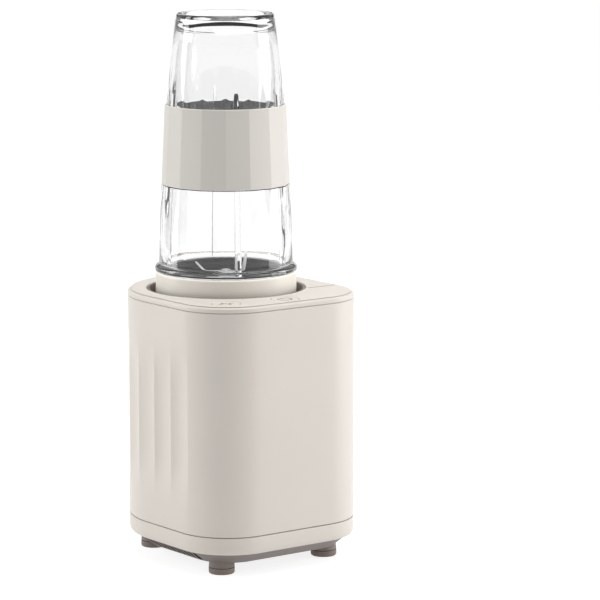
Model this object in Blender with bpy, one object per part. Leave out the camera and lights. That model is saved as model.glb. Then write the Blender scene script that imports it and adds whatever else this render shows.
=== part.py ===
"""Countertop personal blender: a D-shaped motor base with a twist-lock well, and an inverted clear cup on its
blade base.

Sizes are in millimetres and become metres when a mesh is made. +Z is up, the front faces -Y, and the origin is at
the middle of the footprint, on the surface that the blender stands on. Plan positions given to the shape functions
are measured from the drive axis, the vertical line that the motor, the well, the blades and the cup share.
"""

import math

import bmesh
import bpy
from mathutils import Matrix, Vector

MM = 0.001

# ---- plan of the base
BODY_WIDTH = 128.0
BODY_DEPTH = 141.0
FRONT_CORNER_R = 35.8
BACK_R = BODY_WIDTH / 2
AXIS_Y = BODY_DEPTH / 2 - BACK_R
FRONT_REACH = BODY_DEPTH - BACK_R
FIT = 0.3

# ---- heights of the base
PAD_TOP = 4.0
PLATE_BOTTOM = 8.0
SKIRT_BOTTOM = 15.4
SKIRT_TOP = 26.7
SHELL_BOTTOM = 27.2
SHELL_TOP = 171.0
DECK_BOTTOM = 171.3
DECK_TOP = 175.3
WALL = 2.6

# ---- flutes round the back and sides of the shell
FLUTES = 16
FLUTE_DEPTH = 1.5
FLUTE_LAP = 5.2
FLUTE_FADE_LOW = (42.0, 76.0)
FLUTE_FADE_HIGH = (118.0, 152.0)

# ---- the well, and what turns or slides in it
WELL_R = 50.0
WELL_FLOOR_TOP = 149.5
WELL_FLOOR_BOTTOM = 147.0
WELL_HUB_R = 17.0
LOCK_RING_BOTTOM = 150.0
LOCK_RING_SHELF = 156.4
LOCK_RING_TOP = 161.0
LOCK_TURN = 40.0
PLUNGER_ANGLE = 90.0
PLUNGER_RADIUS = 45.0
PLUNGER_RISE = 3.0
BUTTON_R = 8.9
POWER_BUTTON = (0.0, -64.0)
PULSE_BUTTON = (-41.0, -57.0)

# ---- blade base
COLLAR_R = 45.8
COLLAR_BOTTOM = 156.8
COLLAR_TOP = 185.8
COLLAR_FLOOR = (169.5, 172.0)
COLLAR_THREAD_R = 43.5
PLATE_PLUG_R = 38.8
PLATE_TOP = 187.0
PLATE_FLOOR_TOP = 174.8
BUSH_R = 6.0
BLADE_SHAFT_R = 3.0
TAB_HALF_ANGLE = 6.0
TABS = 4

# ---- cup
FACETS = 16
CUP_TURN = 9.3
CUP_RIM = 174.3
CUP_WALL = 3.9
CUP_TOP = 353.3
CUP_RIB_ANGLE = CUP_TURN + 2.5 * 360.0 / FACETS
SLEEVE_BOTTOM = 243.1
SLEEVE_TOP = 294.6
SLEEVE_R = (41.6, 39.2)
SLEEVE_SEAT_R = (39.7, 37.9)

# ---- motor
MOTOR_SHAFT_R = 4.0
BEARING_R = 11.0
STACK = (76.0, 112.0)
STACK_R = 31.0
ARMATURE_R = 17.8
MOTOR_BOLT_X = 32.0

FOOT_PLACES = {
    "front_left": (-41.0, -51.2),
    "front_right": (41.0, -51.2),
    "rear_left": (-33.0, 37.0),
    "rear_right": (33.0, 37.0),
}
SCREW_PLACES = {
    "front_left": (-40.0, -28.5),
    "front_right": (40.0, -28.5),
    "rear_left": (-40.0, 25.5),
    "rear_right": (40.0, 25.5),
}
GLAND_Z = 41.0

MATERIALS = {
    "cream_plastic": ((0.78, 0.73, 0.67), 0.42, 0.0),
    "taupe_plastic": ((0.26, 0.22, 0.20), 0.5, 0.0),
    "taupe_rubber": ((0.25, 0.20, 0.18), 0.75, 0.0),
    "clear_plastic": ((0.95, 0.97, 0.98), 0.05, 0.0),
    "dark_plate": ((0.05, 0.05, 0.05), 0.3, 0.6),
    "steel": ((0.75, 0.75, 0.76), 0.25, 1.0),
    "copper": ((0.72, 0.36, 0.2), 0.35, 1.0),
    "black_plastic": ((0.03, 0.03, 0.03), 0.5, 0.0),
    "circuit_board": ((0.03, 0.22, 0.1), 0.5, 0.0),
    "silicone": ((0.72, 0.70, 0.67), 0.6, 0.0),
}


# ============================================================ Blender helpers
def clear_scene():
    for obj in list(bpy.data.objects):
        bpy.data.objects.remove(obj, do_unlink=True)


def make_material(name):
    colour, roughness, metallic = MATERIALS[name]
    material = bpy.data.materials.new(name)
    material.use_nodes = True
    shader = material.node_tree.nodes["Principled BSDF"]
    shader.inputs["Base Color"].default_value = (*colour, 1.0)
    shader.inputs["Roughness"].default_value = roughness
    shader.inputs["Metallic"].default_value = metallic
    return material


def face_outwards(bm):
    """Points the faces of one closed shape outwards."""
    bmesh.ops.recalc_face_normals(bm, faces=bm.faces)
    if bm.calc_volume(signed=True) < 0:
        bmesh.ops.reverse_faces(bm, faces=bm.faces)


def make_object(name, bm, origin_z=0.0):
    """Turns a bmesh, in millimetres about the drive axis, into an object whose origin is on the axis at origin_z."""
    bmesh.ops.translate(bm, verts=bm.verts, vec=(0.0, 0.0, -origin_z))
    bmesh.ops.scale(bm, verts=bm.verts, vec=(MM, MM, MM))
    mesh = bpy.data.meshes.new(name)
    bm.to_mesh(mesh)
    bm.free()
    mesh.shade_smooth()
    mesh.set_sharp_from_angle(angle=math.radians(35.0))
    obj = bpy.data.objects.new(name, mesh)
    obj.location = (0.0, AXIS_Y * MM, origin_z * MM)
    bpy.context.scene.collection.objects.link(obj)
    return obj


def node(name, bm, material, origin_z=0.0):
    obj = make_object(name, bm, origin_z)
    obj.data.materials.append(bpy.data.materials.get(material) or make_material(material))
    return obj


def combine(obj, operation, bm):
    """Adds a Boolean that joins or cuts obj with the shapes in bm, which stay as a hidden helper."""
    tool = make_object(f"{obj.name}_{operation.lower()}_{len(obj.modifiers)}", bm)
    tool.hide_render = True
    tool.display_type = "WIRE"
    modifier = obj.modifiers.new(operation.title(), "BOOLEAN")
    modifier.operation = operation
    modifier.solver = "EXACT"
    modifier.object = tool


def join(obj, bm):
    combine(obj, "UNION", bm)


def cut(obj, bm):
    combine(obj, "DIFFERENCE", bm)


# ============================================================ shape helpers, all returning a bmesh
def turned(profile, centre=(0.0, 0.0), segments=40):
    """A solid turned about a vertical line, from the closed section given as (radius, height) points."""
    bm = bmesh.new()
    verts = [bm.verts.new((centre[0] + r, centre[1], z)) for r, z in profile]
    edges = []
    for i, vert in enumerate(verts):
        j = (i + 1) % len(verts)
        if profile[i][0] > 0 or profile[j][0] > 0:
            edges.append(bm.edges.new((vert, verts[j])))
    bmesh.ops.spin(
        bm,
        geom=verts + edges,
        cent=(*centre, 0.0),
        axis=(0.0, 0.0, 1.0),
        angle=math.tau,
        steps=segments,
        use_merge=True,
    )
    bmesh.ops.remove_doubles(bm, verts=bm.verts, dist=0.002)
    face_outwards(bm)
    return bm


def rod(radius, low, high, centre=(0.0, 0.0), segments=20):
    return turned([(0.0, low), (radius, low), (radius, high), (0.0, high)], centre, segments)


def tube(inner, outer, low, high, centre=(0.0, 0.0), segments=32):
    return turned([(inner, low), (outer, low), (outer, high), (inner, high)], centre, segments)


def block(x, y, z):
    """A box between the two values given for each axis."""
    bm = bmesh.new()
    bmesh.ops.create_cube(bm, size=1.0)
    bmesh.ops.scale(bm, verts=bm.verts, vec=(x[1] - x[0], y[1] - y[0], z[1] - z[0]))
    middle = Vector(((x[0] + x[1]) / 2, (y[0] + y[1]) / 2, (z[0] + z[1]) / 2))
    bmesh.ops.translate(bm, verts=bm.verts, vec=middle)
    return bm


def lofted(loops, closed=False):
    """A skin over loops of points. The end loops are capped, or joined to each other where closed is true."""
    bm = bmesh.new()
    rings = [[bm.verts.new(point) for point in loop] for loop in loops]
    following = rings[1:] + (rings[:1] if closed else [])
    for low, high in zip(rings, following):
        for i in range(len(low)):
            bm.faces.new((low[i - 1], low[i], high[i], high[i - 1]))
    if not closed:
        bm.faces.new(rings[0])
        bm.faces.new(rings[-1])
    face_outwards(bm)
    return bm


def several(parts):
    """One bmesh that holds all the given ones."""
    whole = bmesh.new()
    for part in parts:
        mesh = bpy.data.meshes.new("part")
        part.to_mesh(mesh)
        part.free()
        whole.from_mesh(mesh)
        bpy.data.meshes.remove(mesh)
    return whole


def turned_round(bm, angle):
    """The same bmesh turned about the drive axis by degrees."""
    bmesh.ops.rotate(bm, verts=bm.verts, cent=(0, 0, 0), matrix=Matrix.Rotation(math.radians(angle), 3, "Z"))
    return bm


def sector(inner, outer, start, end, low, high_at, step=6.0):
    """Part of a ring between two angles in degrees. high_at gives its top height at an angle."""
    count = max(1, round(abs(end - start) / step))
    loops = []
    for i in range(count + 1):
        degrees = start + (end - start) * i / count
        c, s = math.cos(math.radians(degrees)), math.sin(math.radians(degrees))
        high = high_at(degrees)
        corners = ((inner, low), (outer, low), (outer, high), (inner, high))
        loops.append([(r * c, r * s, z) for r, z in corners])
    return lofted(loops)


def evenly(count, start=0.0):
    return [start + 360.0 * i / count for i in range(count)]


# ============================================================ plan outline of the base
SIDE_RUN = FRONT_REACH - FRONT_CORNER_R
BACK_RUN = math.pi * BACK_R
CORNER_RUN = math.pi / 2 * FRONT_CORNER_R
FRONT_RUN = BODY_WIDTH - 2 * FRONT_CORNER_R
FLUTED_RUN = 2 * SIDE_RUN + BACK_RUN + 2 * FLUTE_LAP
FLUTE_PITCH = FLUTED_RUN / FLUTES


def plan_point(run):
    """(x, y, outward x, outward y) at a distance along the outline, anticlockwise from the right front tangent."""
    middle = BACK_R - FRONT_CORNER_R
    if run < 0:
        angle = run / FRONT_CORNER_R
        c, s = math.cos(angle), math.sin(angle)
        return middle + FRONT_CORNER_R * c, -SIDE_RUN + FRONT_CORNER_R * s, c, s
    if run < SIDE_RUN:
        return BACK_R, run - SIDE_RUN, 1.0, 0.0
    run -= SIDE_RUN
    if run < BACK_RUN:
        c, s = math.cos(run / BACK_R), math.sin(run / BACK_R)
        return BACK_R * c, BACK_R * s, c, s
    run -= BACK_RUN
    if run < SIDE_RUN:
        return -BACK_R, -run, -1.0, 0.0
    angle = math.pi + (run - SIDE_RUN) / FRONT_CORNER_R
    c, s = math.cos(angle), math.sin(angle)
    return -middle + FRONT_CORNER_R * c, -SIDE_RUN + FRONT_CORNER_R * s, c, s


def outline(inset, z, flute_depth=0.0, per_flute=4, corner_steps=8):
    """The base's plan at a height, moved inwards by inset and cut by the flutes."""
    points = []
    for i in range(FLUTES * per_flute):
        along = i / per_flute
        dip = flute_depth * 4 * (along % 1) * (1 - along % 1)
        x, y, nx, ny = plan_point(-FLUTE_LAP + along * FLUTE_PITCH)
        points.append((x - nx * (inset + dip), y - ny * (inset + dip), z))
    end = FLUTED_RUN - FLUTE_LAP
    for i in range(corner_steps + 1):
        x, y, nx, ny = plan_point(end + (CORNER_RUN - FLUTE_LAP) * i / corner_steps)
        points.append((x - nx * inset, y - ny * inset, z))
    for i in range(corner_steps):
        x, y, nx, ny = plan_point(-CORNER_RUN + (CORNER_RUN - FLUTE_LAP) * i / corner_steps)
        points.append((x - nx * inset, y - ny * inset, z))
    return points


def plain_outline(inset, z):
    return outline(inset, z, per_flute=2, corner_steps=5)


def flute_depth_at(z):
    """The flutes run out smoothly towards the top and the bottom of the shell."""
    def eased(value, low, high):
        share = min(1.0, max(0.0, (value - low) / (high - low)))
        return share * share * (3 - 2 * share)

    return FLUTE_DEPTH * eased(z, *FLUTE_FADE_LOW) * (1 - eased(z, *FLUTE_FADE_HIGH))


# ============================================================ base housing
def build_body_shell():
    heights = [SHELL_BOTTOM, 42.0, 52.0, 64.0, 76.0, 118.0, 130.0, 142.0, 152.0, SHELL_TOP]
    loops = [outline(0.0, z, flute_depth_at(z)) for z in heights]
    loops += [outline(WALL, SHELL_TOP), outline(WALL, SHELL_BOTTOM)]
    shell = node("body_shell", lofted(loops, closed=True), "cream_plastic")
    post_r, post_bottom, post_top = 4.0, 31.6, 44.0
    webs = []
    for x, y in SCREW_PLACES.values():
        reach = math.copysign(math.sqrt(BACK_R**2 - max(0.0, y) ** 2) - 1.2, x)
        webs.append(block(sorted((x, reach)), (y - 1.0, y + 1.0), (post_bottom + 0.6, post_top - 0.6)))
    places = SCREW_PLACES.values()
    join(shell, several(webs))
    join(shell, several([rod(post_r, post_bottom, post_top, place, 16) for place in places]))
    cut(shell, several([rod(1.8, post_bottom - 2, post_top - 3, place, 12) for place in places]))
    hole = rod(6.0, 55.0, 70.0, segments=28)
    lay_back(hole)
    cut(shell, hole)


def lay_back(bm):
    """Turns a shape made about the vertical axis to lie along +Y, at the height of the cord gland."""
    bmesh.ops.rotate(bm, verts=bm.verts, cent=(0, 0, 0), matrix=Matrix.Rotation(math.radians(-90), 3, "X"))
    bmesh.ops.translate(bm, verts=bm.verts, vec=(0.0, 0.0, GLAND_Z))


def build_skirt():
    section = [
        (0.0, SKIRT_TOP),
        (0.0, SKIRT_BOTTOM + 3.4),
        (0.5, SKIRT_BOTTOM + 1.6),
        (1.6, SKIRT_BOTTOM + 0.4),
        (3.2, SKIRT_BOTTOM),
        (5.4, SKIRT_BOTTOM),
        (5.4, 31.0),
        (WALL + FIT, 31.0),
        (WALL + FIT, SKIRT_TOP),
    ]
    node("skirt", lofted([plain_outline(*p) for p in section], closed=True), "cream_plastic")


def build_base_plate():
    rim = SKIRT_BOTTOM - FIT
    section = [
        (14.8, PLATE_BOTTOM + 2.6),
        (7.7, 14.0),
        (7.7, 20.0),
        (5.7, 20.0),
        (5.7, rim),
        (4.0, rim),
        (12.7, PLATE_BOTTOM),
    ]
    plate = node("base_plate", lofted([plain_outline(*p) for p in section]), "taupe_plastic")
    feet = FOOT_PLACES.values()
    join(plate, several([rod(8.4, PAD_TOP + FIT, 11.0, place, 20) for place in feet]))
    join(plate, several([rod(5.5, 8.6, 16.0, place, 16) for place in SCREW_PLACES.values()]))
    cut(plate, several([rod(3.3, 2.0, 9.8, place, 12) for place in feet]))
    cut(plate, several([rod(4.0, 6.0, 11.2, place, 12) for place in SCREW_PLACES.values()]))
    cut(plate, several([rod(2.1, 6.0, 20.0, place, 12) for place in SCREW_PLACES.values()]))
    vent_pitch, vent_width, vent_count, vent_start = 5.5, 3.1, 11, -47.0
    slots = []
    for side in (-1, 1):
        for i in range(vent_count):
            y = vent_start + i * vent_pitch
            slots.append(block(sorted((side * 46.5, side * 64.0)), (y, y + vent_width), (9.2, 14.4)))
    cut(plate, several(slots))
    grille_rows = [6.0 * i for i in range(-3, 4)]
    cut(plate, several([block((-22.0, 22.0), (y - 1.5, y + 1.5), (4.0, 14.0)) for y in grille_rows]))


def build_feet():
    for place, centre in FOOT_PLACES.items():
        section = [
            (0.0, 0.0),
            (6.9, 0.0),
            (8.0, 0.5),
            (8.4, 1.5),
            (8.4, PAD_TOP),
            (3.0, PAD_TOP),
            (3.0, 9.4),
            (0.0, 9.4),
        ]
        node(f"foot_{place}", turned(section, centre, 16), "taupe_rubber")


def build_plate_screws():
    for place, centre in SCREW_PLACES.items():
        section = [
            (0.0, 9.0),
            (3.2, 9.0),
            (3.6, 9.6),
            (3.6, 10.9),
            (1.5, 10.9),
            (1.5, 38.0),
            (0.0, 39.2),
        ]
        node(f"plate_screw_{place}", turned(section, centre, 12), "steel")


def build_cord_gland():
    gland = turned([(3.2, 56.5), (8.0, 56.5), (8.0, 60.5), (5.7, 60.5), (5.7, 63.6), (3.2, 63.6)], segments=28)
    lay_back(gland)
    node("cord_gland", gland, "taupe_rubber")


def build_deck():
    lip = 167.5
    section = [
        (4.9, DECK_BOTTOM),
        (4.9, lip),
        (WALL + FIT, lip),
        (WALL + FIT, DECK_BOTTOM),
        (0.0, DECK_BOTTOM),
        (0.0, DECK_TOP - 1.5),
        (0.45, DECK_TOP - 0.45),
        (1.5, DECK_TOP),
    ]
    deck = node("deck", lofted([outline(*p, per_flute=2) for p in section]), "cream_plastic")
    cut(deck, rod(WELL_R + 1.9, 160.0, 180.0, segments=48))
    for place in (POWER_BUTTON, PULSE_BUTTON):
        cut(deck, rod(BUTTON_R + 0.4, 160.0, 180.0, place, 32))


def build_well_liner():
    flange = (168.5, DECK_BOTTOM - FIT)
    section = [
        (WELL_HUB_R, WELL_FLOOR_BOTTOM),
        (WELL_R + 2.0, WELL_FLOOR_BOTTOM),
        (WELL_R + 2.0, flange[0]),
        (WELL_R + 5.0, flange[0]),
        (WELL_R + 5.0, flange[1]),
        (WELL_R + 1.5, flange[1]),
        (WELL_R + 1.5, DECK_TOP - FIT),
        (WELL_R, DECK_TOP - FIT),
        (WELL_R, WELL_FLOOR_TOP),
        (WELL_HUB_R, WELL_FLOOR_TOP),
    ]
    liner = node("well_liner", turned(section, segments=48), "taupe_plastic")
    bolts = ((-MOTOR_BOLT_X, 0.0), (MOTOR_BOLT_X, 0.0))
    join(liner, several([rod(5.0, 131.9, 148.2, place, 20) for place in bolts]))
    cut(liner, several([rod(2.1, 130.0, 143.0, place, 16) for place in bolts]))
    cut(liner, rod(2.1, 140.0, 155.0, plunger_place(), 16))


# ============================================================ controls
def build_buttons():
    for name, place in (("power", POWER_BUTTON), ("pulse", PULSE_BUTTON)):
        section = [
            (0.0, 168.1),
            (2.0, 168.1),
            (2.0, 169.4),
            (BUTTON_R, 169.4),
            (BUTTON_R, DECK_TOP - 0.5),
            (BUTTON_R - 0.5, DECK_TOP),
            (6.4, DECK_TOP),
            (0.0, DECK_TOP - 0.4),
        ]
        x, y = place
        button = node(f"{name}_button", turned(section, place, 24), "cream_plastic")
        radius = math.hypot(x, y)
        catch = block((radius - 3.5, radius + 3.5), (-10.8, 10.8), (169.7, DECK_BOTTOM - FIT))
        join(button, turned_round(catch, math.degrees(math.atan2(y, x))))
        base = block((x - 3, x + 3), (y - 3, y + 3), (161.9, 165.4))
        switch = node(f"{name}_switch", base, "black_plastic")
        join(switch, rod(1.7, 164.9, 166.8, place, 16))


def build_control_board():
    board = sector(56.5, 71.5, -140.0, -76.0, 160.0, lambda angle: 161.6, step=5.0)
    node("control_board", board, "circuit_board")


# ============================================================ interlock
def plunger_place():
    angle = math.radians(PLUNGER_ANGLE)
    return PLUNGER_RADIUS * math.cos(angle), PLUNGER_RADIUS * math.sin(angle)


def tab_angles():
    return evenly(TABS, 45.0)


def cam_roof(degrees):
    """Roof of the groove under the lock ring: it falls evenly towards the locked position."""
    return LOCK_RING_BOTTOM + 0.5 + PLUNGER_RISE * (PLUNGER_ANGLE - degrees) / LOCK_TURN


def build_lock_ring():
    section = [
        (40.0, LOCK_RING_BOTTOM),
        (WELL_R - 0.4, LOCK_RING_BOTTOM),
        (WELL_R - 0.4, LOCK_RING_TOP),
        (COLLAR_R + 0.6, LOCK_RING_TOP),
        (COLLAR_R + 0.6, LOCK_RING_SHELF),
        (40.0, LOCK_RING_SHELF),
    ]
    ring = node("lock_ring", turned(section, segments=48), "taupe_plastic")
    half = TAB_HALF_ANGLE + 0.7
    pockets = []
    for angle in tab_angles():
        pocket = sector(
            COLLAR_R - 1, WELL_R + 1, angle - half, angle + half, LOCK_RING_SHELF, lambda a: 170.0, step=7.0
        )
        pockets.append(pocket)
    cut(ring, several(pockets))
    groove_r = (PLUNGER_RADIUS - 2.3, PLUNGER_RADIUS + 2.3)
    ends = (PLUNGER_ANGLE + 4.0, PLUNGER_ANGLE - LOCK_TURN - 4.0)
    cut(ring, sector(*groove_r, *ends, LOCK_RING_BOTTOM - 2.0, cam_roof, step=4.0))


def build_interlock():
    x, y = plunger_place()
    seat = (131.5, 132.9)
    pin = [
        (0.0, 130.6),
        (1.6, 130.6),
        (1.6, 139.0),
        (3.3, 139.0),
        (3.3, 141.0),
        (1.6, 141.0),
        (1.6, LOCK_RING_BOTTOM - FIT - 0.5),
        (1.1, LOCK_RING_BOTTOM - FIT),
        (0.0, LOCK_RING_BOTTOM - FIT),
    ]
    node("interlock_plunger", turned(pin, (x, y), 20), "black_plastic")
    bracket = node("interlock_bracket", block((-12.0, 12.0), (y - 8.0, y + 9.6), seat), "steel")
    join(bracket, block((-12.0, 12.0), (y + 8.0, y + 9.6), (118.0, WELL_FLOOR_BOTTOM - FIT)))
    cut(bracket, rod(2.1, 120.0, 140.0, (x, y), 16))
    switch = node("interlock_switch", block((-10.0, 10.0), (y - 3.2, y + 3.2), (118.0, 128.2)), "black_plastic")
    join(switch, rod(1.3, 127.0, 130.2, (x, y), 16))
    build_spring((x, y), (seat[1] + FIT, 139.0 - FIT))


def build_spring(centre, span):
    """Plunger return spring: a coil of round wire between two heights."""
    wire_r, coil_r, turns, steps = 0.45, 2.7, 4, 8
    count = turns * steps
    curve = bpy.data.curves.new("interlock_spring", "CURVE")
    curve.dimensions = "3D"
    curve.bevel_depth = wire_r * MM
    curve.bevel_resolution = 0
    curve.use_fill_caps = True
    spline = curve.splines.new("POLY")
    spline.points.add(count)
    low, high = span[0] + wire_r, span[1] - wire_r
    for i, point in enumerate(spline.points):
        angle = math.tau * i / steps
        x = centre[0] + coil_r * math.cos(angle)
        y = centre[1] + coil_r * math.sin(angle)
        point.co = (x * MM, y * MM, (low + (high - low) * i / count) * MM, 1.0)
    spring = bpy.data.objects.new("interlock_spring", curve)
    spring.location = (0.0, AXIS_Y * MM, 0.0)
    curve.materials.append(bpy.data.materials.get("steel") or make_material("steel"))
    bpy.context.scene.collection.objects.link(spring)


# ============================================================ motor
def build_motor_frame():
    bore = BEARING_R + FIT
    top = node("motor_top_bracket", block((-38.0, 38.0), (-13.0, 13.0), (127.2, 131.6)), "steel")
    posts = [(x, y) for x in (-27.5, 27.5) for y in (-8.0, 8.0)]
    join(top, several([rod(2.2, STACK[1] + FIT, 129.0, place, 10) for place in posts]))
    cut(top, rod(bore, 120.0, 140.0))
    cut(top, several([rod(2.1, 126.0, 140.0, (x, 0.0), 16) for x in (-MOTOR_BOLT_X, MOTOR_BOLT_X)]))
    bottom = node("motor_bottom_bracket", block((-33.0, 33.0), (-13.0, 13.0), (59.8, 64.2)), "steel")
    join(bottom, several([rod(2.2, 62.0, STACK[0] - FIT, place, 10) for place in posts]))
    cut(bottom, rod(bore, 50.0, 70.0))
    for name, low in (("top", 127.6), ("bottom", 60.0)):
        node(f"motor_{name}_bearing", tube(MOTOR_SHAFT_R + FIT, BEARING_R, low, low + 4.0), "steel")
    for name, x in (("left", -MOTOR_BOLT_X), ("right", MOTOR_BOLT_X)):
        section = [
            (0.0, 124.6),
            (3.0, 124.6),
            (3.4, 125.2),
            (3.4, 126.9),
            (1.8, 126.9),
            (1.8, 141.0),
            (0.0, 142.0),
        ]
        node(f"motor_screw_{name}", turned(section, (x, 0.0), 12), "steel")


def build_stator():
    stack = node("stator_stack", tube(ARMATURE_R + 0.7, STACK_R, *STACK, segments=40), "steel")
    flats = [block((STACK_R - 2.5, 40.0), (-40.0, 40.0), (70.0, 120.0)) for _ in range(2)]
    turned_round(flats[0], 90.0)
    turned_round(flats[1], -90.0)
    cut(stack, several(flats))
    winding = [(19.5, 0.0), (25.8, 0.0), (25.8, 3.4), (24.0, 5.4), (21.2, 5.4), (19.5, 3.4)]
    upper = [(r, STACK[1] + FIT + z) for r, z in winding]
    lower = [(r, STACK[0] - FIT - z) for r, z in winding]
    node("upper_winding", turned(upper, segments=32), "copper")
    node("lower_winding", turned(lower, segments=32), "copper")
    for name, side in (("front", -1), ("rear", 1)):
        holder = block((-3.2, 3.2), sorted((side * 11.5, side * 29.0)), (119.8, 126.9))
        node(f"brush_{name}", holder, "black_plastic")


def build_rotor():
    node("motor_shaft", rod(MOTOR_SHAFT_R, 40.0, 155.5, segments=20), "steel", 100.0)
    armature = node("armature", tube(MOTOR_SHAFT_R + FIT, ARMATURE_R, *STACK, segments=28), "steel", 100.0)
    slot = [block((ARMATURE_R - 3.0, 25.0), (-1.0, 1.0), (70.0, 120.0)) for _ in range(12)]
    cut(armature, several([turned_round(s, a) for s, a in zip(slot, evenly(12, 5.0))]))
    node("commutator", tube(MOTOR_SHAFT_R + FIT, BEARING_R, 119.5, 125.8, segments=24), "copper", 100.0)
    section = [(MOTOR_SHAFT_R + FIT, 44.0), (33.0, 44.0), (33.0, 45.6), (8.0, 45.6), (8.0, 54.0)]
    section.append((MOTOR_SHAFT_R + FIT, 54.0))
    fan = node("cooling_fan", turned(section, segments=28), "black_plastic", 100.0)
    blades = []
    for angle in evenly(9):
        blades.append(turned_round(block((6.8, 32.0), (-0.8, 0.8), (45.0, 55.0)), angle))
    join(fan, several(blades))


def dogs(count, start, low, high):
    """The coupling's teeth: short sectors that interleave with those of its mate."""
    half = 13.0
    angles = evenly(count, start)
    return several([sector(7.0, 13.5, a - half, a + half, low, lambda _: high, step=13.0) for a in angles])


def build_couplings():
    driver = [(MOTOR_SHAFT_R + FIT, 150.2), (14.2, 150.2), (14.2, 152.8), (MOTOR_SHAFT_R + FIT, 152.8)]
    drive = node("drive_coupling", turned(driver, segments=28), "black_plastic", 100.0)
    join(drive, dogs(6, 0.0, 151.6, 157.6))
    top = [(BLADE_SHAFT_R + FIT, 158.6), (14.6, 158.6), (14.6, 162.2), (BLADE_SHAFT_R + FIT, 162.2)]
    driven = node("driven_coupling", turned(top, segments=28), "black_plastic", 180.0)
    join(driven, dogs(6, 30.0, 153.4, 160.0))


# ============================================================ blade base
def build_collar():
    section = [
        (BUSH_R + FIT, COLLAR_FLOOR[0]),
        (42.8, COLLAR_FLOOR[0]),
        (42.8, COLLAR_BOTTOM),
        (COLLAR_R, COLLAR_BOTTOM),
        (COLLAR_R, COLLAR_TOP - 0.8),
        (COLLAR_R - 0.8, COLLAR_TOP),
        (COLLAR_THREAD_R, COLLAR_TOP),
        (COLLAR_THREAD_R, COLLAR_FLOOR[1]),
        (BUSH_R + FIT, COLLAR_FLOOR[1]),
    ]
    collar = node("collar", turned(section, segments=48), "cream_plastic", 180.0)
    tabs = []
    for angle in tab_angles():
        span = (angle - TAB_HALF_ANGLE, angle + TAB_HALF_ANGLE)
        tabs.append(sector(44.0, 48.8, *span, COLLAR_BOTTOM, lambda a: COLLAR_BOTTOM + 3.4, step=6.0))
    join(collar, several(tabs))


def build_blade_plate():
    section = [
        (BUSH_R + FIT, COLLAR_FLOOR[1] + FIT),
        (PLATE_PLUG_R, COLLAR_FLOOR[1] + FIT),
        (PLATE_PLUG_R, PLATE_TOP - 1.0),
        (PLATE_PLUG_R - 1.0, PLATE_TOP),
        (PLATE_PLUG_R - 2.0, PLATE_TOP),
        (34.4, 177.6),
        (32.0, 175.4),
        (29.0, PLATE_FLOOR_TOP),
        (BUSH_R + FIT, PLATE_FLOOR_TOP),
    ]
    node("blade_plate", turned(section, segments=40), "dark_plate", 180.0)
    seal = (COLLAR_FLOOR[1] + FIT, CUP_RIM - FIT)
    node("cup_seal", tube(39.2, 43.2, *seal, segments=40), "silicone", 180.0)


def build_bush():
    bore = BLADE_SHAFT_R + FIT
    section = [
        (bore, 163.0),
        (BUSH_R, 163.0),
        (BUSH_R, 166.6),
        (9.0, 166.6),
        (9.0, COLLAR_FLOOR[0] - FIT),
        (BUSH_R, COLLAR_FLOOR[0] - FIT),
        (BUSH_R, 177.4),
        (bore, 177.4),
    ]
    node("shaft_bush", turned(section, segments=24), "steel", 180.0)
    hexagon = tube(BUSH_R + FIT, 9.4, PLATE_FLOOR_TOP + FIT, PLATE_FLOOR_TOP + 2.4, segments=24)
    nut = node("bush_nut", hexagon, "steel", 180.0)
    flats = [turned_round(block((8.2, 12.0), (-12.0, 12.0), (170.0, 185.0)), a) for a in evenly(6)]
    cut(nut, several(flats))


def blade(name, z, turn, stations):
    """A two-winged blade stamped from sheet. Each station gives the distance along it, the lift and half width."""
    thickness = 1.2
    loops = []
    for along, lift, half in stations:
        steep = 0.8 if lift > 6.0 else 0.0
        low, high = z + lift, z + lift + thickness
        inner, outer = along - thickness * steep, along
        loops.append([(outer, -half, low), (outer, half, low), (inner, half, high), (inner, -half, high)])
    made = node(name, turned_round(lofted(loops), turn), "steel", 180.0)
    cut(made, rod(BLADE_SHAFT_R + FIT, z - 5, z + 5, segments=20))


def build_blades():
    node("blade_shaft", rod(BLADE_SHAFT_R, 159.4, 182.4, segments=20), "steel", 180.0)
    node("blade_washer", tube(BLADE_SHAFT_R + FIT, 6.4, 177.8, 178.6, segments=24), "steel", 180.0)
    low_wings = [(-27.0, -1.4, 1.4), (-24.0, -1.1, 3.2), (-13.0, 0.0, 5.8), (13.0, 0.0, 5.8)]
    low_wings += [(24.0, -1.1, 3.2), (27.0, -1.4, 1.4)]
    blade("lower_blade", 178.9, 58.0, low_wings)
    high_wings = [(-20.3, 10.2, 1.2), (-18.5, 7.9, 3.2), (-12.3, 0.2, 5.7), (-10.5, 0.0, 5.8), (10.0, 0.0, 5.8)]
    high_wings += [(11.4, 1.6, 5.6), (13.4, 13.6, 3.8), (13.9, 17.0, 1.2)]
    blade("upper_blade", 180.4, 328.0, high_wings)
    section = [
        (0.0, 182.7),
        (BLADE_SHAFT_R + FIT, 182.7),
        (BLADE_SHAFT_R + FIT, 181.9),
        (4.4, 181.9),
        (4.2, 182.9),
        (3.2, 184.1),
        (1.6, 184.7),
        (0.0, 184.8),
    ]
    node("blade_nut", turned(section, segments=24), "steel", 180.0)


# ============================================================ cup and sleeve
def cup_radius(z):
    """Outside radius of the cup on its facet corners: a gentle curve from the flange to the closed end."""
    up = z - 195.0
    return 43.4 - 0.020 * up - 0.000346 * up * up


def seat_radius(z):
    share = (z - SLEEVE_BOTTOM) / (SLEEVE_TOP - SLEEVE_BOTTOM)
    return SLEEVE_SEAT_R[0] + (SLEEVE_SEAT_R[1] - SLEEVE_SEAT_R[0]) * share


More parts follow.
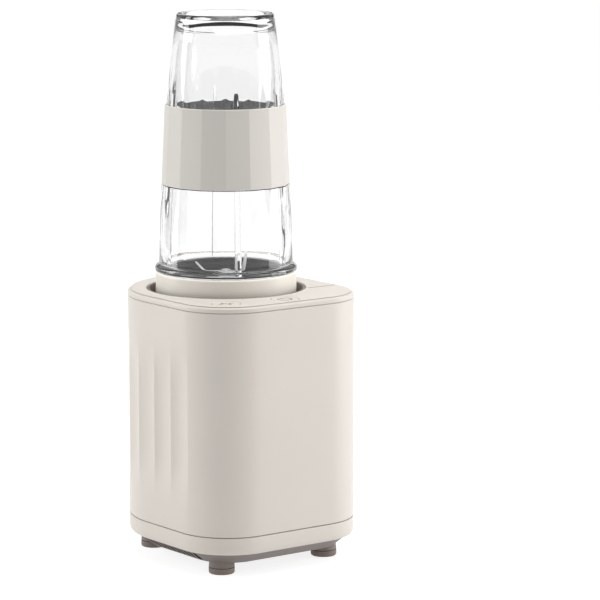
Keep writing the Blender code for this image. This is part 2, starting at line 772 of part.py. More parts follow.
def facet_ring(radius, z, strength, per_facet=2):
    """A ring of points that is round at strength 0 and has flat facets at strength 1."""
    points = []
    half = math.pi / FACETS
    for i in range(FACETS * per_facet):
        within = (i % per_facet) / per_facet * 2 * half - half
        flat = math.cos(half) / math.cos(within)
        r = radius * (1 - strength * (1 - flat))
        angle = math.radians(CUP_TURN) + 2 * half * i / per_facet
        points.append((r * math.cos(angle), r * math.sin(angle), z))
    return points


def build_cup():
    inside = [(25.6, 346.2), (27.8, 345.3), (28.7, 342.8)]
    inside += [(cup_radius(z) - CUP_WALL, z) for z in (330.0, 312.0, 294.0, 270.0, 242.0, 215.0, 195.0)]
    inside += [(39.5, CUP_RIM)]
    neck = [(42.0, CUP_RIM), (42.0, 176.4), (42.9, 177.4), (42.9, 178.6), (42.0, 179.6), (42.0, 186.2)]
    flange = [(45.3, 186.2), (46.2, 187.2), (46.2, 188.9), (45.3, 190.0), (43.9, 190.6), (43.4, 192.6)]
    loops = [facet_ring(r, z, 0.0) for r, z in inside + neck + flange]
    loops += [facet_ring(cup_radius(z), z, k) for z, k in ((214.0, 0.0), (228.0, 1.0), (241.2, 1.0))]
    loops += [facet_ring(seat_radius(z), z, 1.0) for z in (SLEEVE_BOTTOM - 0.4, SLEEVE_TOP + 0.3)]
    loops += [facet_ring(cup_radius(z), z, k) for z, k in ((306.0, 1.0), (325.0, 0.0), (340.0, 0.0))]
    end = [(32.0, 350.4), (31.3, 352.6), (30.0, CUP_TOP), (28.6, CUP_TOP), (27.8, 352.4), (27.4, 349.8)]
    loops += [facet_ring(r, z, 0.0) for r, z in end]
    cup = node("cup", lofted(loops), "clear_plastic", 180.0)
    stations = ((187.8, 36.4, 40.6, 2.0), (262.0, 33.4, 37.6, 1.8), (306.0, 30.4, 33.9, 1.6))
    ribs = []
    for angle in evenly(4, CUP_RIB_ANGLE):
        rib = []
        for z, inner, outer, half in stations:
            rib.append([(inner, -half, z), (outer, -half, z), (outer, half, z), (inner, half, z)])
        ribs.append(turned_round(lofted(rib), angle))
    join(cup, several(ribs))


def build_sleeve():
    gap = 0.35
    inner = [(seat_radius(z) + gap, z) for z in (SLEEVE_BOTTOM, SLEEVE_TOP)]
    outer = [(SLEEVE_R[1], SLEEVE_TOP), (SLEEVE_R[0], SLEEVE_BOTTOM)]
    loops = [facet_ring(r, z, 1.0, per_facet=1) for r, z in inner + outer]
    node("sleeve", lofted(loops, closed=True), "cream_plastic", 180.0)


def build_blender():
    clear_scene()
    build_body_shell()
    build_skirt()
    build_base_plate()
    build_feet()
    build_plate_screws()
    build_cord_gland()
    build_deck()
    build_well_liner()
    build_buttons()
    build_control_board()
    build_lock_ring()
    build_interlock()
    build_motor_frame()
    build_stator()
    build_rotor()
    build_couplings()
    build_collar()
    build_blade_plate()
    build_bush()
    build_blades()
    build_cup()
    build_sleeve()


build_blender()
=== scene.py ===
"""Looks for a countertop personal blender: a fluted motor base with a twist-lock well, and an inverted clear
cup in a faceted grip sleeve, standing on its blade base.

Run as a script, it loads the engineered frame, makes every visible piece with its finish, and sets the stage.
Pieces are shaped in millimetres about the drive axis, the upright line through the motor, blades and cup.
"""

import math

import bmesh
import bpy
from bpy.props import FloatProperty, FloatVectorProperty, IntProperty, PointerProperty
from mathutils import Matrix, Vector


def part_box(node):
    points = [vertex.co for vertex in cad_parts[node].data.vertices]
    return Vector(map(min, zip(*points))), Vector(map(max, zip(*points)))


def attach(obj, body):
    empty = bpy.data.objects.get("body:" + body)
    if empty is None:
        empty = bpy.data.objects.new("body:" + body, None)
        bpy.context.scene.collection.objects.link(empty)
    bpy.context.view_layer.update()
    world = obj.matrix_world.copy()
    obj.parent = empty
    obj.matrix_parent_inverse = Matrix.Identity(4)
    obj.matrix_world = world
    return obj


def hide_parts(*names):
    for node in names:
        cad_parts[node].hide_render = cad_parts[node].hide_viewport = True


bl_info = {
    "name": "Personal Blender Builder",
    "version": (1, 0, 0),
    "blender": (4, 5, 0),
    "location": "View3D > Sidebar > Personal Blender",
    "description": "Makes the pieces, finishes and studio of a countertop personal blender",
    "category": "Add Mesh",
}

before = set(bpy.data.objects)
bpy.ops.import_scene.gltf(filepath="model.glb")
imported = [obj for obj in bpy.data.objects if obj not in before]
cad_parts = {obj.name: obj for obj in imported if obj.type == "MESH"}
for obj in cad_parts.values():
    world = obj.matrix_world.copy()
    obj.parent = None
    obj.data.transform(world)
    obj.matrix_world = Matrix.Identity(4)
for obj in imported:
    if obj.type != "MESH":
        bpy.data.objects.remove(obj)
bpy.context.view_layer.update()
MM = 0.001
BUTTON_RADIUS = 8.9
TAB_ANGLES = (45.0, 135.0, 225.0, 315.0)  # middles of the lock tabs, in degrees round the drive axis
TAB_HALF = 6.0


def node_centre(node):
    low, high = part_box(node)
    return (low + high) / 2


DRIVE_AXIS = Vector((node_centre("lock_ring").x, node_centre("lock_ring").y, 0.0))


def span(node):
    """A node's box as (lowest, highest) corners in millimetres, with x and y from the drive axis."""
    low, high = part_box(node)
    return (low - DRIVE_AXIS) / MM, (high - DRIVE_AXIS) / MM


def levels(node):
    """The lowest and highest height of a node, in millimetres."""
    low, high = span(node)
    return low.z, high.z


def radius_of(node):
    return span(node)[1].x


# ============================================================ settings a user would change
def length(name, description, default):
    return FloatProperty(name=name, description=description, default=default * MM, unit="LENGTH", precision=5)


def colour(name, description, default):
    """A display colour, given in the 0 to 255 steps of a paint chart."""
    shades = [value / 255 for value in default]
    return FloatVectorProperty(
        name=name, description=description, default=shades, min=0.0, max=1.0, subtype="COLOR_GAMMA"
    )


class BlenderSizes(bpy.types.PropertyGroup):
    """Sizes of the details that the frame doesn't hold."""

    corner_radius: length("Front corner radius", "Plan radius of the two front corners of the base", 35.8)
    wall: length("Wall", "Thickness of the moulded shells", 2.6)
    flute_depth: length("Flute depth", "How far each flute is hollowed into the side of the shell", 1.8)
    flute_run_out: length("Flute run-out", "Height over which a flute fades into the plain shell", 34.0)
    flutes: IntProperty(name="Flutes", description="Hollows round the sides and back", default=16, min=4)
    cup_wall: length("Cup wall", "Thickness of the clear cup", 3.0)
    facets: IntProperty(name="Facets", description="Flats round the cup and its sleeve", default=16, min=6)
    facet_turn: FloatProperty(
        name="Facet turn",
        description="Where the first facet edge stands round the drive axis",
        default=math.radians(9.3),
        subtype="ANGLE",
    )
    edge: length("Edge rounding", "Radius that softens an ordinary moulded edge", 0.4)


class BlenderFinishes(bpy.types.PropertyGroup):
    """Colours of the finishes."""

    cream: colour("Cream", "Housing, deck, collar and buttons", (233, 226, 217))
    # Painted light: the collar is the same cream plastic, made lighter to stand in for light that the well
    # keeps from it.
    collar: colour("Collar", "Collar of the blade base", (243, 238, 228))
    sleeve: colour("Sleeve", "Grip sleeve of the cup", (226, 221, 214))
    # Painted shade: the inner face of the sleeve is coloured dark grey to stand for the shade seen inside it
    # through the cup.
    sleeve_painted_shade: colour("Sleeve painted shade", "Dark inner face of the grip sleeve", (62, 62, 62))
    taupe: colour("Taupe", "Base plate and well", (136, 126, 122))
    foot: colour("Foot", "Rubber feet and cord gland", (150, 136, 128))
    plate: colour("Blade plate", "Turned plate under the blades", (26, 28, 27))
    print: colour("Print", "Symbols on the two buttons", (138, 132, 114))
    rubber: colour("Seal", "Seal between cup and blade base", (222, 218, 210))
    steel: colour("Steel", "Blades, nuts, shafts and screws", (214, 214, 216))
    copper: colour("Copper", "Windings and commutator", (196, 122, 82))
    black: colour("Black plastic", "Couplings, fan and switches", (36, 36, 38))
    board: colour("Circuit board", "Solder mask of the control board", (32, 92, 58))


def sizes():
    return bpy.context.scene.blender_sizes


def in_mm(name):
    """One of the user's lengths, in millimetres."""
    return getattr(sizes(), name) / MM


def shade(name):
    """One of the user's colours as the linear values that shaders take, with alpha."""
    values = getattr(bpy.context.scene.blender_finishes, name)
    return (*[v / 12.92 if v <= 0.04045 else ((v + 0.055) / 1.055) ** 2.4 for v in values], 1.0)


# ============================================================ shapes, all in millimetres about the drive axis
def rounded(corners, steps=4):
    """An outline of (radius, height) points from corners of (radius, height, rounding)."""
    points = []
    for i, corner in enumerate(corners):
        here = Vector(corner[:2])
        rounding = corner[2] if len(corner) > 2 else 0.0
        before = Vector(corners[i - 1][:2]) - here
        after = Vector(corners[(i + 1) % len(corners)][:2]) - here
        if rounding <= 0:
            points.append(tuple(here))
            continue
        start = here + before.normalized() * min(rounding, before.length * 0.48)
        end = here + after.normalized() * min(rounding, after.length * 0.48)
        for step in range(steps + 1):
            t = step / steps
            points.append(tuple(start * (1 - t) ** 2 + here * 2 * t * (1 - t) + end * t * t))
    return points


def turned(corners, centre=(0.0, 0.0), segments=96, steps=4):
    """A solid of revolution about an upright line, from a closed section of (radius, height, rounding)."""
    bm = bmesh.new()
    section = rounded(corners, steps)
    verts = [bm.verts.new((centre[0] + r, centre[1], z)) for r, z in section]
    edges = []
    for i, vert in enumerate(verts):
        if section[i][0] > 1e-6 or section[i - 1][0] > 1e-6:
            edges.append(bm.edges.new((verts[i - 1], vert)))
    bmesh.ops.spin(
        bm,
        geom=verts + edges,
        cent=(*centre, 0.0),
        axis=(0.0, 0.0, 1.0),
        angle=math.tau,
        steps=segments,
        use_merge=True,
    )
    bmesh.ops.remove_doubles(bm, verts=bm.verts, dist=0.0005)
    return outwards(bm)


def outwards(bm):
    """Points the faces of a closed shape outwards."""
    bmesh.ops.recalc_face_normals(bm, faces=bm.faces)
    if bm.calc_volume(signed=True) < 0:
        bmesh.ops.reverse_faces(bm, faces=bm.faces)
    return bm


def drawn(sections, count, looped=False):
    """A skin drawn through sections, each a function that places the kth point of its ring of count points.
    The first and last rings are joined to each other where looped is true, and filled where it isn't."""
    bm = bmesh.new()
    ring = bmesh.ops.create_circle(bm, segments=count, radius=1.0)["verts"]
    first = ring
    place(ring, sections[0])
    for section in sections[1:]:
        made = bmesh.ops.extrude_edge_only(bm, edges=ring_edges(ring))["geom"]
        fresh = {item for item in made if isinstance(item, bmesh.types.BMVert)}
        ring = [next(e.other_vert(v) for e in v.link_edges if e.other_vert(v) in fresh) for v in ring]
        place(ring, section)
    if looped:
        bmesh.ops.bridge_loops(bm, edges=ring_edges(ring) + ring_edges(first))
    else:
        bmesh.ops.contextual_create(bm, geom=ring_edges(ring))
        bmesh.ops.contextual_create(bm, geom=ring_edges(first))
    return outwards(bm)


def place(ring, section):
    for k, vert in enumerate(ring):
        vert.co = section(k)


def ring_edges(ring):
    """The edges between neighbours of a closed ring of vertices."""
    edges = []
    for vert, following in zip(ring, ring[1:] + ring[:1]):
        edges.append(next(e for e in vert.link_edges if e.other_vert(vert) is following))
    return edges


def block(low, high, edge=0.0):
    """A box between two corners, with its edges rounded."""
    bm = bmesh.new()
    bmesh.ops.create_cube(bm, size=1.0)
    low, high = Vector(low), Vector(high)
    bmesh.ops.scale(bm, verts=bm.verts, vec=high - low)
    bmesh.ops.translate(bm, verts=bm.verts, vec=(low + high) / 2)
    if edge > 0:
        bmesh.ops.bevel(
            bm, geom=bm.edges[:], offset=edge, affect="EDGES", segments=2, profile=0.5, material=-1
        )
    return bm


def disc(radius, low, high, centre=(0.0, 0.0), edge=0.0, segments=32):
    return turned([(0.0, low), (radius, low, edge), (radius, high, edge), (0.0, high)], centre, segments)


def swung(bm, degrees, axis="Z"):
    """The same shape turned about an axis through the origin, which for Z is the drive axis."""
    turn = Matrix.Rotation(math.radians(degrees), 3, axis)
    bmesh.ops.rotate(bm, verts=bm.verts, cent=(0, 0, 0), matrix=turn)
    return bm


def moved(bm, *by):
    """The same shape moved by (x, y, z)."""
    bmesh.ops.translate(bm, verts=bm.verts, vec=by)
    return bm


def together(shapes):
    """One bmesh that holds all the given ones."""
    whole = bmesh.new()
    for shape in shapes:
        mesh = bpy.data.meshes.new("shape")
        shape.to_mesh(mesh)
        shape.free()
        whole.from_mesh(mesh)
        bpy.data.meshes.remove(mesh)
    return whole


def combined(bm, operation, *tools):
    """The shape after each tool is joined to it (UNION) or cut from it (DIFFERENCE)."""
    for tool in tools:
        helpers = []
        for shape in (bm, tool):
            mesh = bpy.data.meshes.new("helper")
            shape.to_mesh(mesh)
            shape.free()
            helpers.append(bpy.data.objects.new("helper", mesh))
            bpy.context.scene.collection.objects.link(helpers[-1])
        modifier = helpers[0].modifiers.new("Combine", "BOOLEAN")
        modifier.operation = operation
        modifier.solver = "EXACT"
        modifier.object = helpers[1]
        graph = bpy.context.evaluated_depsgraph_get()
        bm = bmesh.new()
        bm.from_mesh(helpers[0].evaluated_get(graph).data)
        for helper in helpers:
            mesh = helper.data
            bpy.data.objects.remove(helper, do_unlink=True)
            bpy.data.meshes.remove(mesh)
        bmesh.ops.remove_doubles(bm, verts=bm.verts, dist=0.0005)
        bmesh.ops.dissolve_degenerate(bm, edges=bm.edges, dist=0.0005)
    return bm


def evenly(count, start=0.0):
    return [start + 360.0 * i / count for i in range(count)]


def piece(name, bm, body, material, slot, nodes=(), sharp=32.0, keep_sharp=False):
    """Makes a finished object of a shape: in place, smooth but for its sharp edges, riding on its body."""
    for face in bm.faces:
        face.smooth = True
    for edge in bm.edges:
        if not keep_sharp or edge.smooth:
            edge.smooth = len(edge.link_faces) == 2 and edge.calc_face_angle(0.0) < math.radians(sharp)
    bmesh.ops.scale(bm, verts=bm.verts, vec=(MM, MM, MM))
    bmesh.ops.translate(bm, verts=bm.verts, vec=DRIVE_AXIS)
    mesh = bpy.data.meshes.new(name)
    bm.to_mesh(mesh)
    bm.free()
    if not mesh.polygons:
        raise RuntimeError(f"{name} came out empty")
    made = bpy.data.objects.new(name, mesh)
    bpy.context.scene.collection.objects.link(made)
    for finish in material if isinstance(material, (list, tuple)) else [material]:
        mesh.materials.append(finish)
    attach(made, body)
    if nodes:
        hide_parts(*nodes)
    return made


# ============================================================ plan of the base
class Plan:
    """The D-shaped outline of the base as a ring of points: fluted sides and back, and a plain front."""

    PER_FLUTE, PER_CORNER, PER_FRONT = 12, 16, 10  # points along each stretch
    LAP = 5.2  # how far the flutes run on into the front corners

    def __init__(self):
        self.back_radius = radius_of("body_shell")
        self.front_reach = -span("body_shell")[0].y
        self.corner_radius = in_mm("corner_radius")
        self.side = self.front_reach - self.corner_radius
        self.back = math.pi * self.back_radius
        self.corner = math.pi / 2 * self.corner_radius
        self.front = 2 * (self.back_radius - self.corner_radius)
        self.flutes = sizes().flutes
        self.fluted = 2 * (self.side + self.LAP) + self.back
        self.runs = self._runs()
        self.count = len(self.runs)

    def _runs(self):
        """Distances along the outline, anticlockwise from where the right side meets its front corner."""
        left = self.fluted - self.LAP
        front = left + self.corner - self.LAP
        marks = [
            (-self.LAP, left, self.flutes * self.PER_FLUTE),
            (left, front, self.PER_CORNER),
            (front, front + self.front, self.PER_FRONT),
            (-self.corner, -self.LAP, self.PER_CORNER),
        ]
        runs = []
        for start, end, steps in marks:
            runs += [start + (end - start) * i / steps for i in range(steps)]
        return runs

    def point(self, run):
        """(place, outward direction) at a distance along the outline."""
        middle = self.back_radius - self.corner_radius
        if run < 0:
            angle = run / self.corner_radius
            out = Vector((math.cos(angle), math.sin(angle)))
            return Vector((middle, -self.side)) + out * self.corner_radius, out
        if run < self.side:
            return Vector((self.back_radius, run - self.side)), Vector((1.0, 0.0))
        run -= self.side
        if run < self.back:
            out = Vector((math.cos(run / self.back_radius), math.sin(run / self.back_radius)))
            return out * self.back_radius, out
        run -= self.back
        if run < self.side:
            return Vector((-self.back_radius, -run)), Vector((-1.0, 0.0))
        run -= self.side
        if run < self.corner:
            angle = math.pi + run / self.corner_radius
            out = Vector((math.cos(angle), math.sin(angle)))
            return Vector((-middle, -self.side)) + out * self.corner_radius, out
        run -= self.corner
        return Vector((run - middle, -self.front_reach)), Vector((0.0, -1.0))

    def dip(self, k):
        """0 on a cusp between flutes and on the plain front, 1 in the middle of a flute."""
        if k >= self.flutes * self.PER_FLUTE:
            return 0.0
        along = k / self.PER_FLUTE % 1
        return 4 * along * (1 - along)

    def is_cusp(self, k):
        return k <= self.flutes * self.PER_FLUTE and k % self.PER_FLUTE == 0

    def section(self, inset, z, flute_depth=0.0):
        """A ring at a height, moved inwards by inset and hollowed by the flutes."""
        def at(k):
            where, out = self.point(self.runs[k])
            where = where - out * (inset + flute_depth * self.dip(k))
            return Vector((where.x, where.y, z))

        return at

    def sections(self, corners, steps=4):
        """Rings for a closed wall section of (inset, height, rounding) corners."""
        return [self.section(inset, z) for inset, z in rounded(corners, steps)]


def ease(value, low, high):
    share = min(1.0, max(0.0, (value - low) / (high - low)))
    return share * share * (3 - 2 * share)


# ============================================================ finishes
def new_finish(name, base, roughness, metallic=0.0, **sockets):
    """A Principled material with constant values on the given sockets. Returns (material, tree, shader)."""
    material = bpy.data.materials.new(name)
    material.use_nodes = True
    tree = material.node_tree
    shader = tree.nodes["Principled BSDF"]
    shader.inputs["Base Color"].default_value = base
    shader.inputs["Roughness"].default_value = roughness
    shader.inputs["Metallic"].default_value = metallic
    for socket, value in sockets.items():
        shader.inputs[socket.replace("_", " ")].default_value = value
    material.diffuse_color = base
    return material, tree, shader


def object_coordinates(tree, location=(0.0, 0.0, 0.0), scale=(1.0, 1.0, 1.0)):
    """The output of a Mapping node on Object coordinates."""
    coordinates = tree.nodes.new("ShaderNodeTexCoord")
    mapping = tree.nodes.new("ShaderNodeMapping")
    mapping.inputs["Location"].default_value = location
    mapping.inputs["Scale"].default_value = scale
    tree.links.new(coordinates.outputs["Object"], mapping.inputs["Vector"])
    return mapping.outputs["Vector"]


def noise(tree, vector, size, detail=3.0, roughness=0.5):
    """Noise whose features are about size metres across."""
    texture = tree.nodes.new("ShaderNodeTexNoise")
    texture.inputs["Scale"].default_value = 1.0 / size
    texture.inputs["Detail"].default_value = detail
    texture.inputs["Roughness"].default_value = roughness
    tree.links.new(vector, texture.inputs["Vector"])
    return texture.outputs["Fac"]


def remap(tree, value, low, high, from_low=0.3, from_high=0.7):
    node = tree.nodes.new("ShaderNodeMapRange")
    node.inputs["From Min"].default_value = from_low
    node.inputs["From Max"].default_value = from_high
    node.inputs["To Min"].default_value = low
    node.inputs["To Max"].default_value = high
    tree.links.new(value, node.inputs["Value"])
    return node.outputs["Result"]


def blend_colours(tree, factor, first, second):
    mix = tree.nodes.new("ShaderNodeMix")
    mix.data_type = "RGBA"
    mix.inputs["A"].default_value = first
    mix.inputs["B"].default_value = second
    tree.links.new(factor, mix.inputs["Factor"])
    return mix.outputs["Result"]


def relief(tree, shader, heights):
    """Bumps on the shader's normal, from (height output, depth in metres) pairs."""
    normal = None
    for value, depth in heights:
        bump = tree.nodes.new("ShaderNodeBump")
        bump.inputs["Distance"].default_value = depth
        bump.inputs["Strength"].default_value = 1.0
        tree.links.new(value, bump.inputs["Height"])
        if normal:
            tree.links.new(normal, bump.inputs["Normal"])
        normal = bump.outputs["Normal"]
    tree.links.new(normal, shader.inputs["Normal"])


def darker(base, share):
    return (*[value * share for value in base[:3]], 1.0)


def moulded_plastic(name, base, roughness, grain=0.00035, depth=0.000006, unevenness=0.93, **sockets):
    """Satin moulded plastic: a fine spark-eroded grain, faint cloudiness, and gloss that varies a little."""
    material, tree, shader = new_finish(name, base, roughness, **sockets)
    vector = object_coordinates(tree)
    cloud = noise(tree, vector, 0.03)
    fine = noise(tree, vector, grain, detail=2.0)
    tint = blend_colours(tree, remap(tree, cloud, 0.0, 1.0), darker(base, unevenness), base)
    tree.links.new(tint, shader.inputs["Base Color"])
    gloss = remap(tree, noise(tree, vector, 0.004), roughness - 0.05, roughness + 0.05)
    tree.links.new(gloss, shader.inputs["Roughness"])
    relief(tree, shader, [(fine, depth)])
    return material


def clear_plastic():
    """Clear tough plastic, very slightly wavy as moulded walls are."""
    tint = (0.957, 0.959, 0.959, 1.0)
    material, tree, shader = new_finish("clear_cup_plastic", tint, 0.015, IOR=1.5)
    shader.inputs["Transmission Weight"].default_value = 1.0
    vector = object_coordinates(tree, scale=(1.0, 1.0, 0.25))
    haze = remap(tree, noise(tree, vector, 0.012), 0.01, 0.03)
    tree.links.new(haze, shader.inputs["Roughness"])
    relief(tree, shader, [(noise(tree, vector, 0.02, detail=1.0), 0.00003)])
    return material


def brushed_metal(name, base, roughness, stretch=(1.0, 1.0, 12.0), grain=0.0012, depth=0.000008):
    """Metal with fine scratches along the direction that is stretched least."""
    material, tree, shader = new_finish(name, base, roughness, metallic=1.0)
    vector = object_coordinates(tree, scale=stretch)
    scratches = noise(tree, vector, grain, detail=4.0)
    tree.links.new(remap(tree, scratches, roughness - 0.06, roughness + 0.08), shader.inputs["Roughness"])
    smudge = noise(tree, object_coordinates(tree), 0.01)
    tint = blend_colours(tree, remap(tree, smudge, 0.0, 1.0), darker(base, 0.86), base)
    tree.links.new(tint, shader.inputs["Base Color"])
    relief(tree, shader, [(scratches, depth)])
    return material


def ground_steel():
    """Blade steel with a satin ground face, part matte from its fine scratches."""
    material, tree, shader = new_finish("satin_ground_steel", shade("steel"), 0.36, metallic=0.6)
    vector = object_coordinates(tree, scale=(1.0, 1.0, 9.0))
    scratches = noise(tree, vector, 0.0014, detail=4.0)
    tree.links.new(remap(tree, scratches, 0.28, 0.44), shader.inputs["Roughness"])
    tint = blend_colours(tree, remap(tree, scratches, 0.0, 1.0), darker(shade("steel"), 0.9), shade("steel"))
    tree.links.new(tint, shader.inputs["Base Color"])
    relief(tree, shader, [(scratches, 0.000006)])
    return material


def turned_plate():
    """Dark plate with the fine rings that a lathe leaves round the drive axis."""
    base = shade("plate")
    material, tree, shader = new_finish("turned_dark_plate", base, 0.3, metallic=0.85)
    vector = object_coordinates(tree, location=-DRIVE_AXIS)
    rings = tree.nodes.new("ShaderNodeTexWave")
    rings.wave_type = "RINGS"
    rings.rings_direction = "Z"
    rings.inputs["Scale"].default_value = 260.0
    rings.inputs["Distortion"].default_value = 1.5
    rings.inputs["Detail"].default_value = 3.0
    tree.links.new(vector, rings.inputs["Vector"])
    tint = blend_colours(tree, rings.outputs["Fac"], darker(base, 0.45), darker(base, 1.9))
    tree.links.new(tint, shader.inputs["Base Color"])
    tree.links.new(remap(tree, rings.outputs["Fac"], 0.22, 0.42, 0.0, 1.0), shader.inputs["Roughness"])
    relief(tree, shader, [(rings.outputs["Fac"], 0.00002)])
    return material


def banded(name, base, roughness, metallic, pitch, depth, direction="Z"):
    """A surface of fine parallel ridges, such as stacked sheets or turns of wire."""
    material, tree, shader = new_finish(name, base, roughness, metallic=metallic)
    waves = tree.nodes.new("ShaderNodeTexWave")
    waves.wave_type = "BANDS"
    waves.bands_direction = direction
    waves.inputs["Scale"].default_value = 0.05 * math.tau / pitch
    waves.inputs["Distortion"].default_value = 0.6
    tree.links.new(object_coordinates(tree), waves.inputs["Vector"])
    tint = blend_colours(tree, waves.outputs["Fac"], darker(base, 0.55), base)
    tree.links.new(tint, shader.inputs["Base Color"])
    relief(tree, shader, [(waves.outputs["Fac"], depth)])
    return material


def solder_mask():
    """Green circuit board with faint square copper areas under its coating."""
    base = shade("board")
    material, tree, shader = new_finish("solder_mask_board", base, 0.35)
    cells = tree.nodes.new("ShaderNodeTexVoronoi")
    cells.distance = "CHEBYCHEV"
    cells.inputs["Scale"].default_value = 280.0
    tree.links.new(object_coordinates(tree), cells.inputs["Vector"])
    tint = blend_colours(tree, cells.outputs["Distance"], darker(base, 0.6), darker(base, 1.6))
    tree.links.new(tint, shader.inputs["Base Color"])
    relief(tree, shader, [(cells.outputs["Distance"], 0.00003)])
    return material


class Finishes:
    """Every finish, made the first time it is asked for."""

    made = {}
    RECIPES = {
        "cream": lambda: moulded_plastic("cream_satin_plastic", shade("cream"), 0.42, unevenness=0.985),
        # Painted light: a lighter copy of the cream for the collar, which makes up for the shade in the well.
        "collar": lambda: moulded_plastic("collar_painted_light_plastic", shade("collar"), 0.42, unevenness=0.985),
        "sleeve": lambda: moulded_plastic("soft_sleeve_plastic", shade("sleeve"), 0.5, unevenness=0.985),
        # Painted shade: the dark finish for the inner face of the sleeve stands for shade, not for a dark
        # lining.
        "sleeve_painted_shade": lambda: moulded_plastic("sleeve_painted_shade_plastic", shade("sleeve_painted_shade"), 0.55),
        "taupe": lambda: moulded_plastic("taupe_matte_plastic", shade("taupe"), 0.55, depth=0.00001),
        "foot": lambda: moulded_plastic("foot_rubber", shade("foot"), 0.75, 0.0006, 0.00003, 0.85),
        "clear": clear_plastic,
        "plate": turned_plate,
        "print": lambda: moulded_plastic("button_print_ink", shade("print"), 0.5, 0.0002, 0.000004, 0.9),
        "rubber": lambda: moulded_plastic("seal_silicone", shade("rubber"), 0.6, 0.0005, 0.00001, 0.9),
        "steel": lambda: brushed_metal("polished_steel", shade("steel"), 0.16, (1, 1, 1), 0.002, 0.000004),
        "ground_steel": ground_steel,
        # Painted shade: taupe darkened to a fifth for the vent walls, standing for the shade deep in the
        # slots.
        "vent_shadow": lambda: moulded_plastic("vent_painted_shade_plastic", darker(shade("taupe"), 0.22), 0.8),
        "sheet_steel": lambda: brushed_metal("brushed_sheet_steel", shade("steel"), 0.3, (1.0, 14.0, 14.0)),
        "laminations": lambda: banded(
            "stacked_sheet_steel", darker(shade("steel"), 0.5), 0.4, 1.0, 0.0008, 0.0001
        ),
        "winding": lambda: banded("copper_winding", shade("copper"), 0.3, 1.0, 0.0007, 0.0002),
        "copper": lambda: brushed_metal("commutator_copper", shade("copper"), 0.25),
        "black": lambda: moulded_plastic("black_plastic", shade("black"), 0.45, 0.0004, 0.00001, 0.8),
        "board": solder_mask,
    }

    @classmethod
    def get(cls, name):
        if name not in cls.made:
            cls.made[name] = cls.RECIPES[name]()
        return cls.made[name]


finish = Finishes.get


# ============================================================ operators: the base
class PieceOperator(bpy.types.Operator):
    """Common behaviour of the operators that make pieces."""

    bl_options = {"REGISTER", "UNDO"}

    def execute(self, context):
        self.make()
        return {"FINISHED"}

    def make(self):
        raise NotImplementedError(self.bl_idname)


class MakeBodyShell(PieceOperator):
    """Fluted shell of the motor base, with its four screw posts"""

    bl_idname = "blender_parts.body_shell"
    bl_label = "Body Shell"

    def make(self):
        plan = Plan()
        low, high = levels("body_shell")
        wall, edge = in_mm("wall"), in_mm("edge")
        heights = self.flute_heights(low, high)
        outer = [plan.section(edge, low), plan.section(0.0, low + edge)]
        outer += [plan.section(0.0, z, depth) for z, depth in heights]
        outer += [plan.section(0.0, high - edge), plan.section(edge, high)]
        inner = [plan.section(wall, high), plan.section(wall, low)]
        bm = drawn(outer + inner, plan.count, looped=True)
        self.mark_cusps(bm, plan)
        bore = turned([(5.9, -5.0), (0.0, -5.0), (0.0, 5.0), (5.9, 5.0)], segments=48)
        self.lay_in_back_wall(bore, span("cord_gland"))
        bm = combined(bm, "DIFFERENCE", bore)
        piece("body_shell_skin", bm, "base", finish("cream"), "cream_plastic", ["body_shell"], 24.0, True)
        self.make_posts(low, wall)

    @staticmethod
    def flute_heights(low, high):
        """(height, flute depth) pairs: the flutes fade in above the seam and out below the deck."""
        depth, run_out, steps = in_mm("flute_depth"), in_mm("flute_run_out"), 10
        start, end = low + 15.0, high - 19.0
        rising = [(start + run_out * i / steps, depth * ease(i / steps, 0, 1)) for i in range(steps + 1)]
        falling = [(end - run_out * i / steps, depth * ease(i / steps, 0, 1)) for i in range(steps, -1, -1)]
        return rising + falling

    @staticmethod
    def mark_cusps(bm, plan):
        """Keeps the upright edge between two flutes crisp."""
        cusps = set()
        for k in filter(plan.is_cusp, range(plan.count)):
            where, _ = plan.point(plan.runs[k])
            cusps.add((round(where.x, 2), round(where.y, 2)))
        for edge in bm.edges:
            edge.smooth = True
            a, b = edge.verts
            upright = abs(a.co.z - b.co.z) > 1.0 and (a.co.xy - b.co.xy).length < 0.01
            if upright and (round(a.co.x, 2), round(a.co.y, 2)) in cusps:
                edge.smooth = False

    @staticmethod
    def lay_in_back_wall(bm, gland):
        """Turns an upright shape to lie along Y, at the place of the cord gland."""
        middle = (gland[0] + gland[1]) / 2
        moved(swung(bm, -90, "X"), 0.0, radius_of("body_shell") - 1.0, middle.z)

    @staticmethod
    def make_posts(low, wall):
        for corner in ("front_left", "front_right", "rear_left", "rear_right"):
            screw_low, screw_high = span(f"plate_screw_{corner}")
            x, y = ((screw_low + screw_high) / 2).xy
            bottom, top = low + 4.5, low + 17.0
            reach = math.sqrt(radius_of("body_shell") ** 2 - max(0.0, y) ** 2) - wall - 0.3
            bore, roof = 1.75, top - 3
            section = [(bore, bottom), (4.0, bottom, 0.3), (4.0, top, 0.4)]
            section += [(0.0, top), (0.0, roof), (bore, roof)]
            post = turned(section, (x, y), 32)
            side = math.copysign(1.0, x)
            near, far = sorted((x + side * 3.2, side * reach))
            web = block((near, y - 0.9, bottom + 0.8), (far, y + 0.9, top - 1.2), 0.2)
            made = combined(post, "UNION", web)
            piece(f"screw_post_{corner}", made, "base", finish("cream"), "cream_plastic")


class MakeSkirt(PieceOperator):
    """Plain ring below the shell, with its rounded lower edge"""

    bl_idname = "blender_parts.skirt"
    bl_label = "Skirt"

    def make(self):
        plan = Plan()
        low, high = levels("skirt")
        seam = levels("body_shell")[0] - 0.5
        wall = in_mm("wall") + 0.3
        corners = [
            (0.0, seam, in_mm("edge")),
            (0.0, low, 4.2),
            (5.4, low, 0.3),
            (5.4, high, 0.4),
            (wall, high, 0.4),
            (wall, seam),
        ]
        bm = drawn(plan.sections(corners, 6), plan.count, looped=True)
        piece("skirt_ring", bm, "base", finish("cream"), "cream_plastic", ["skirt"])


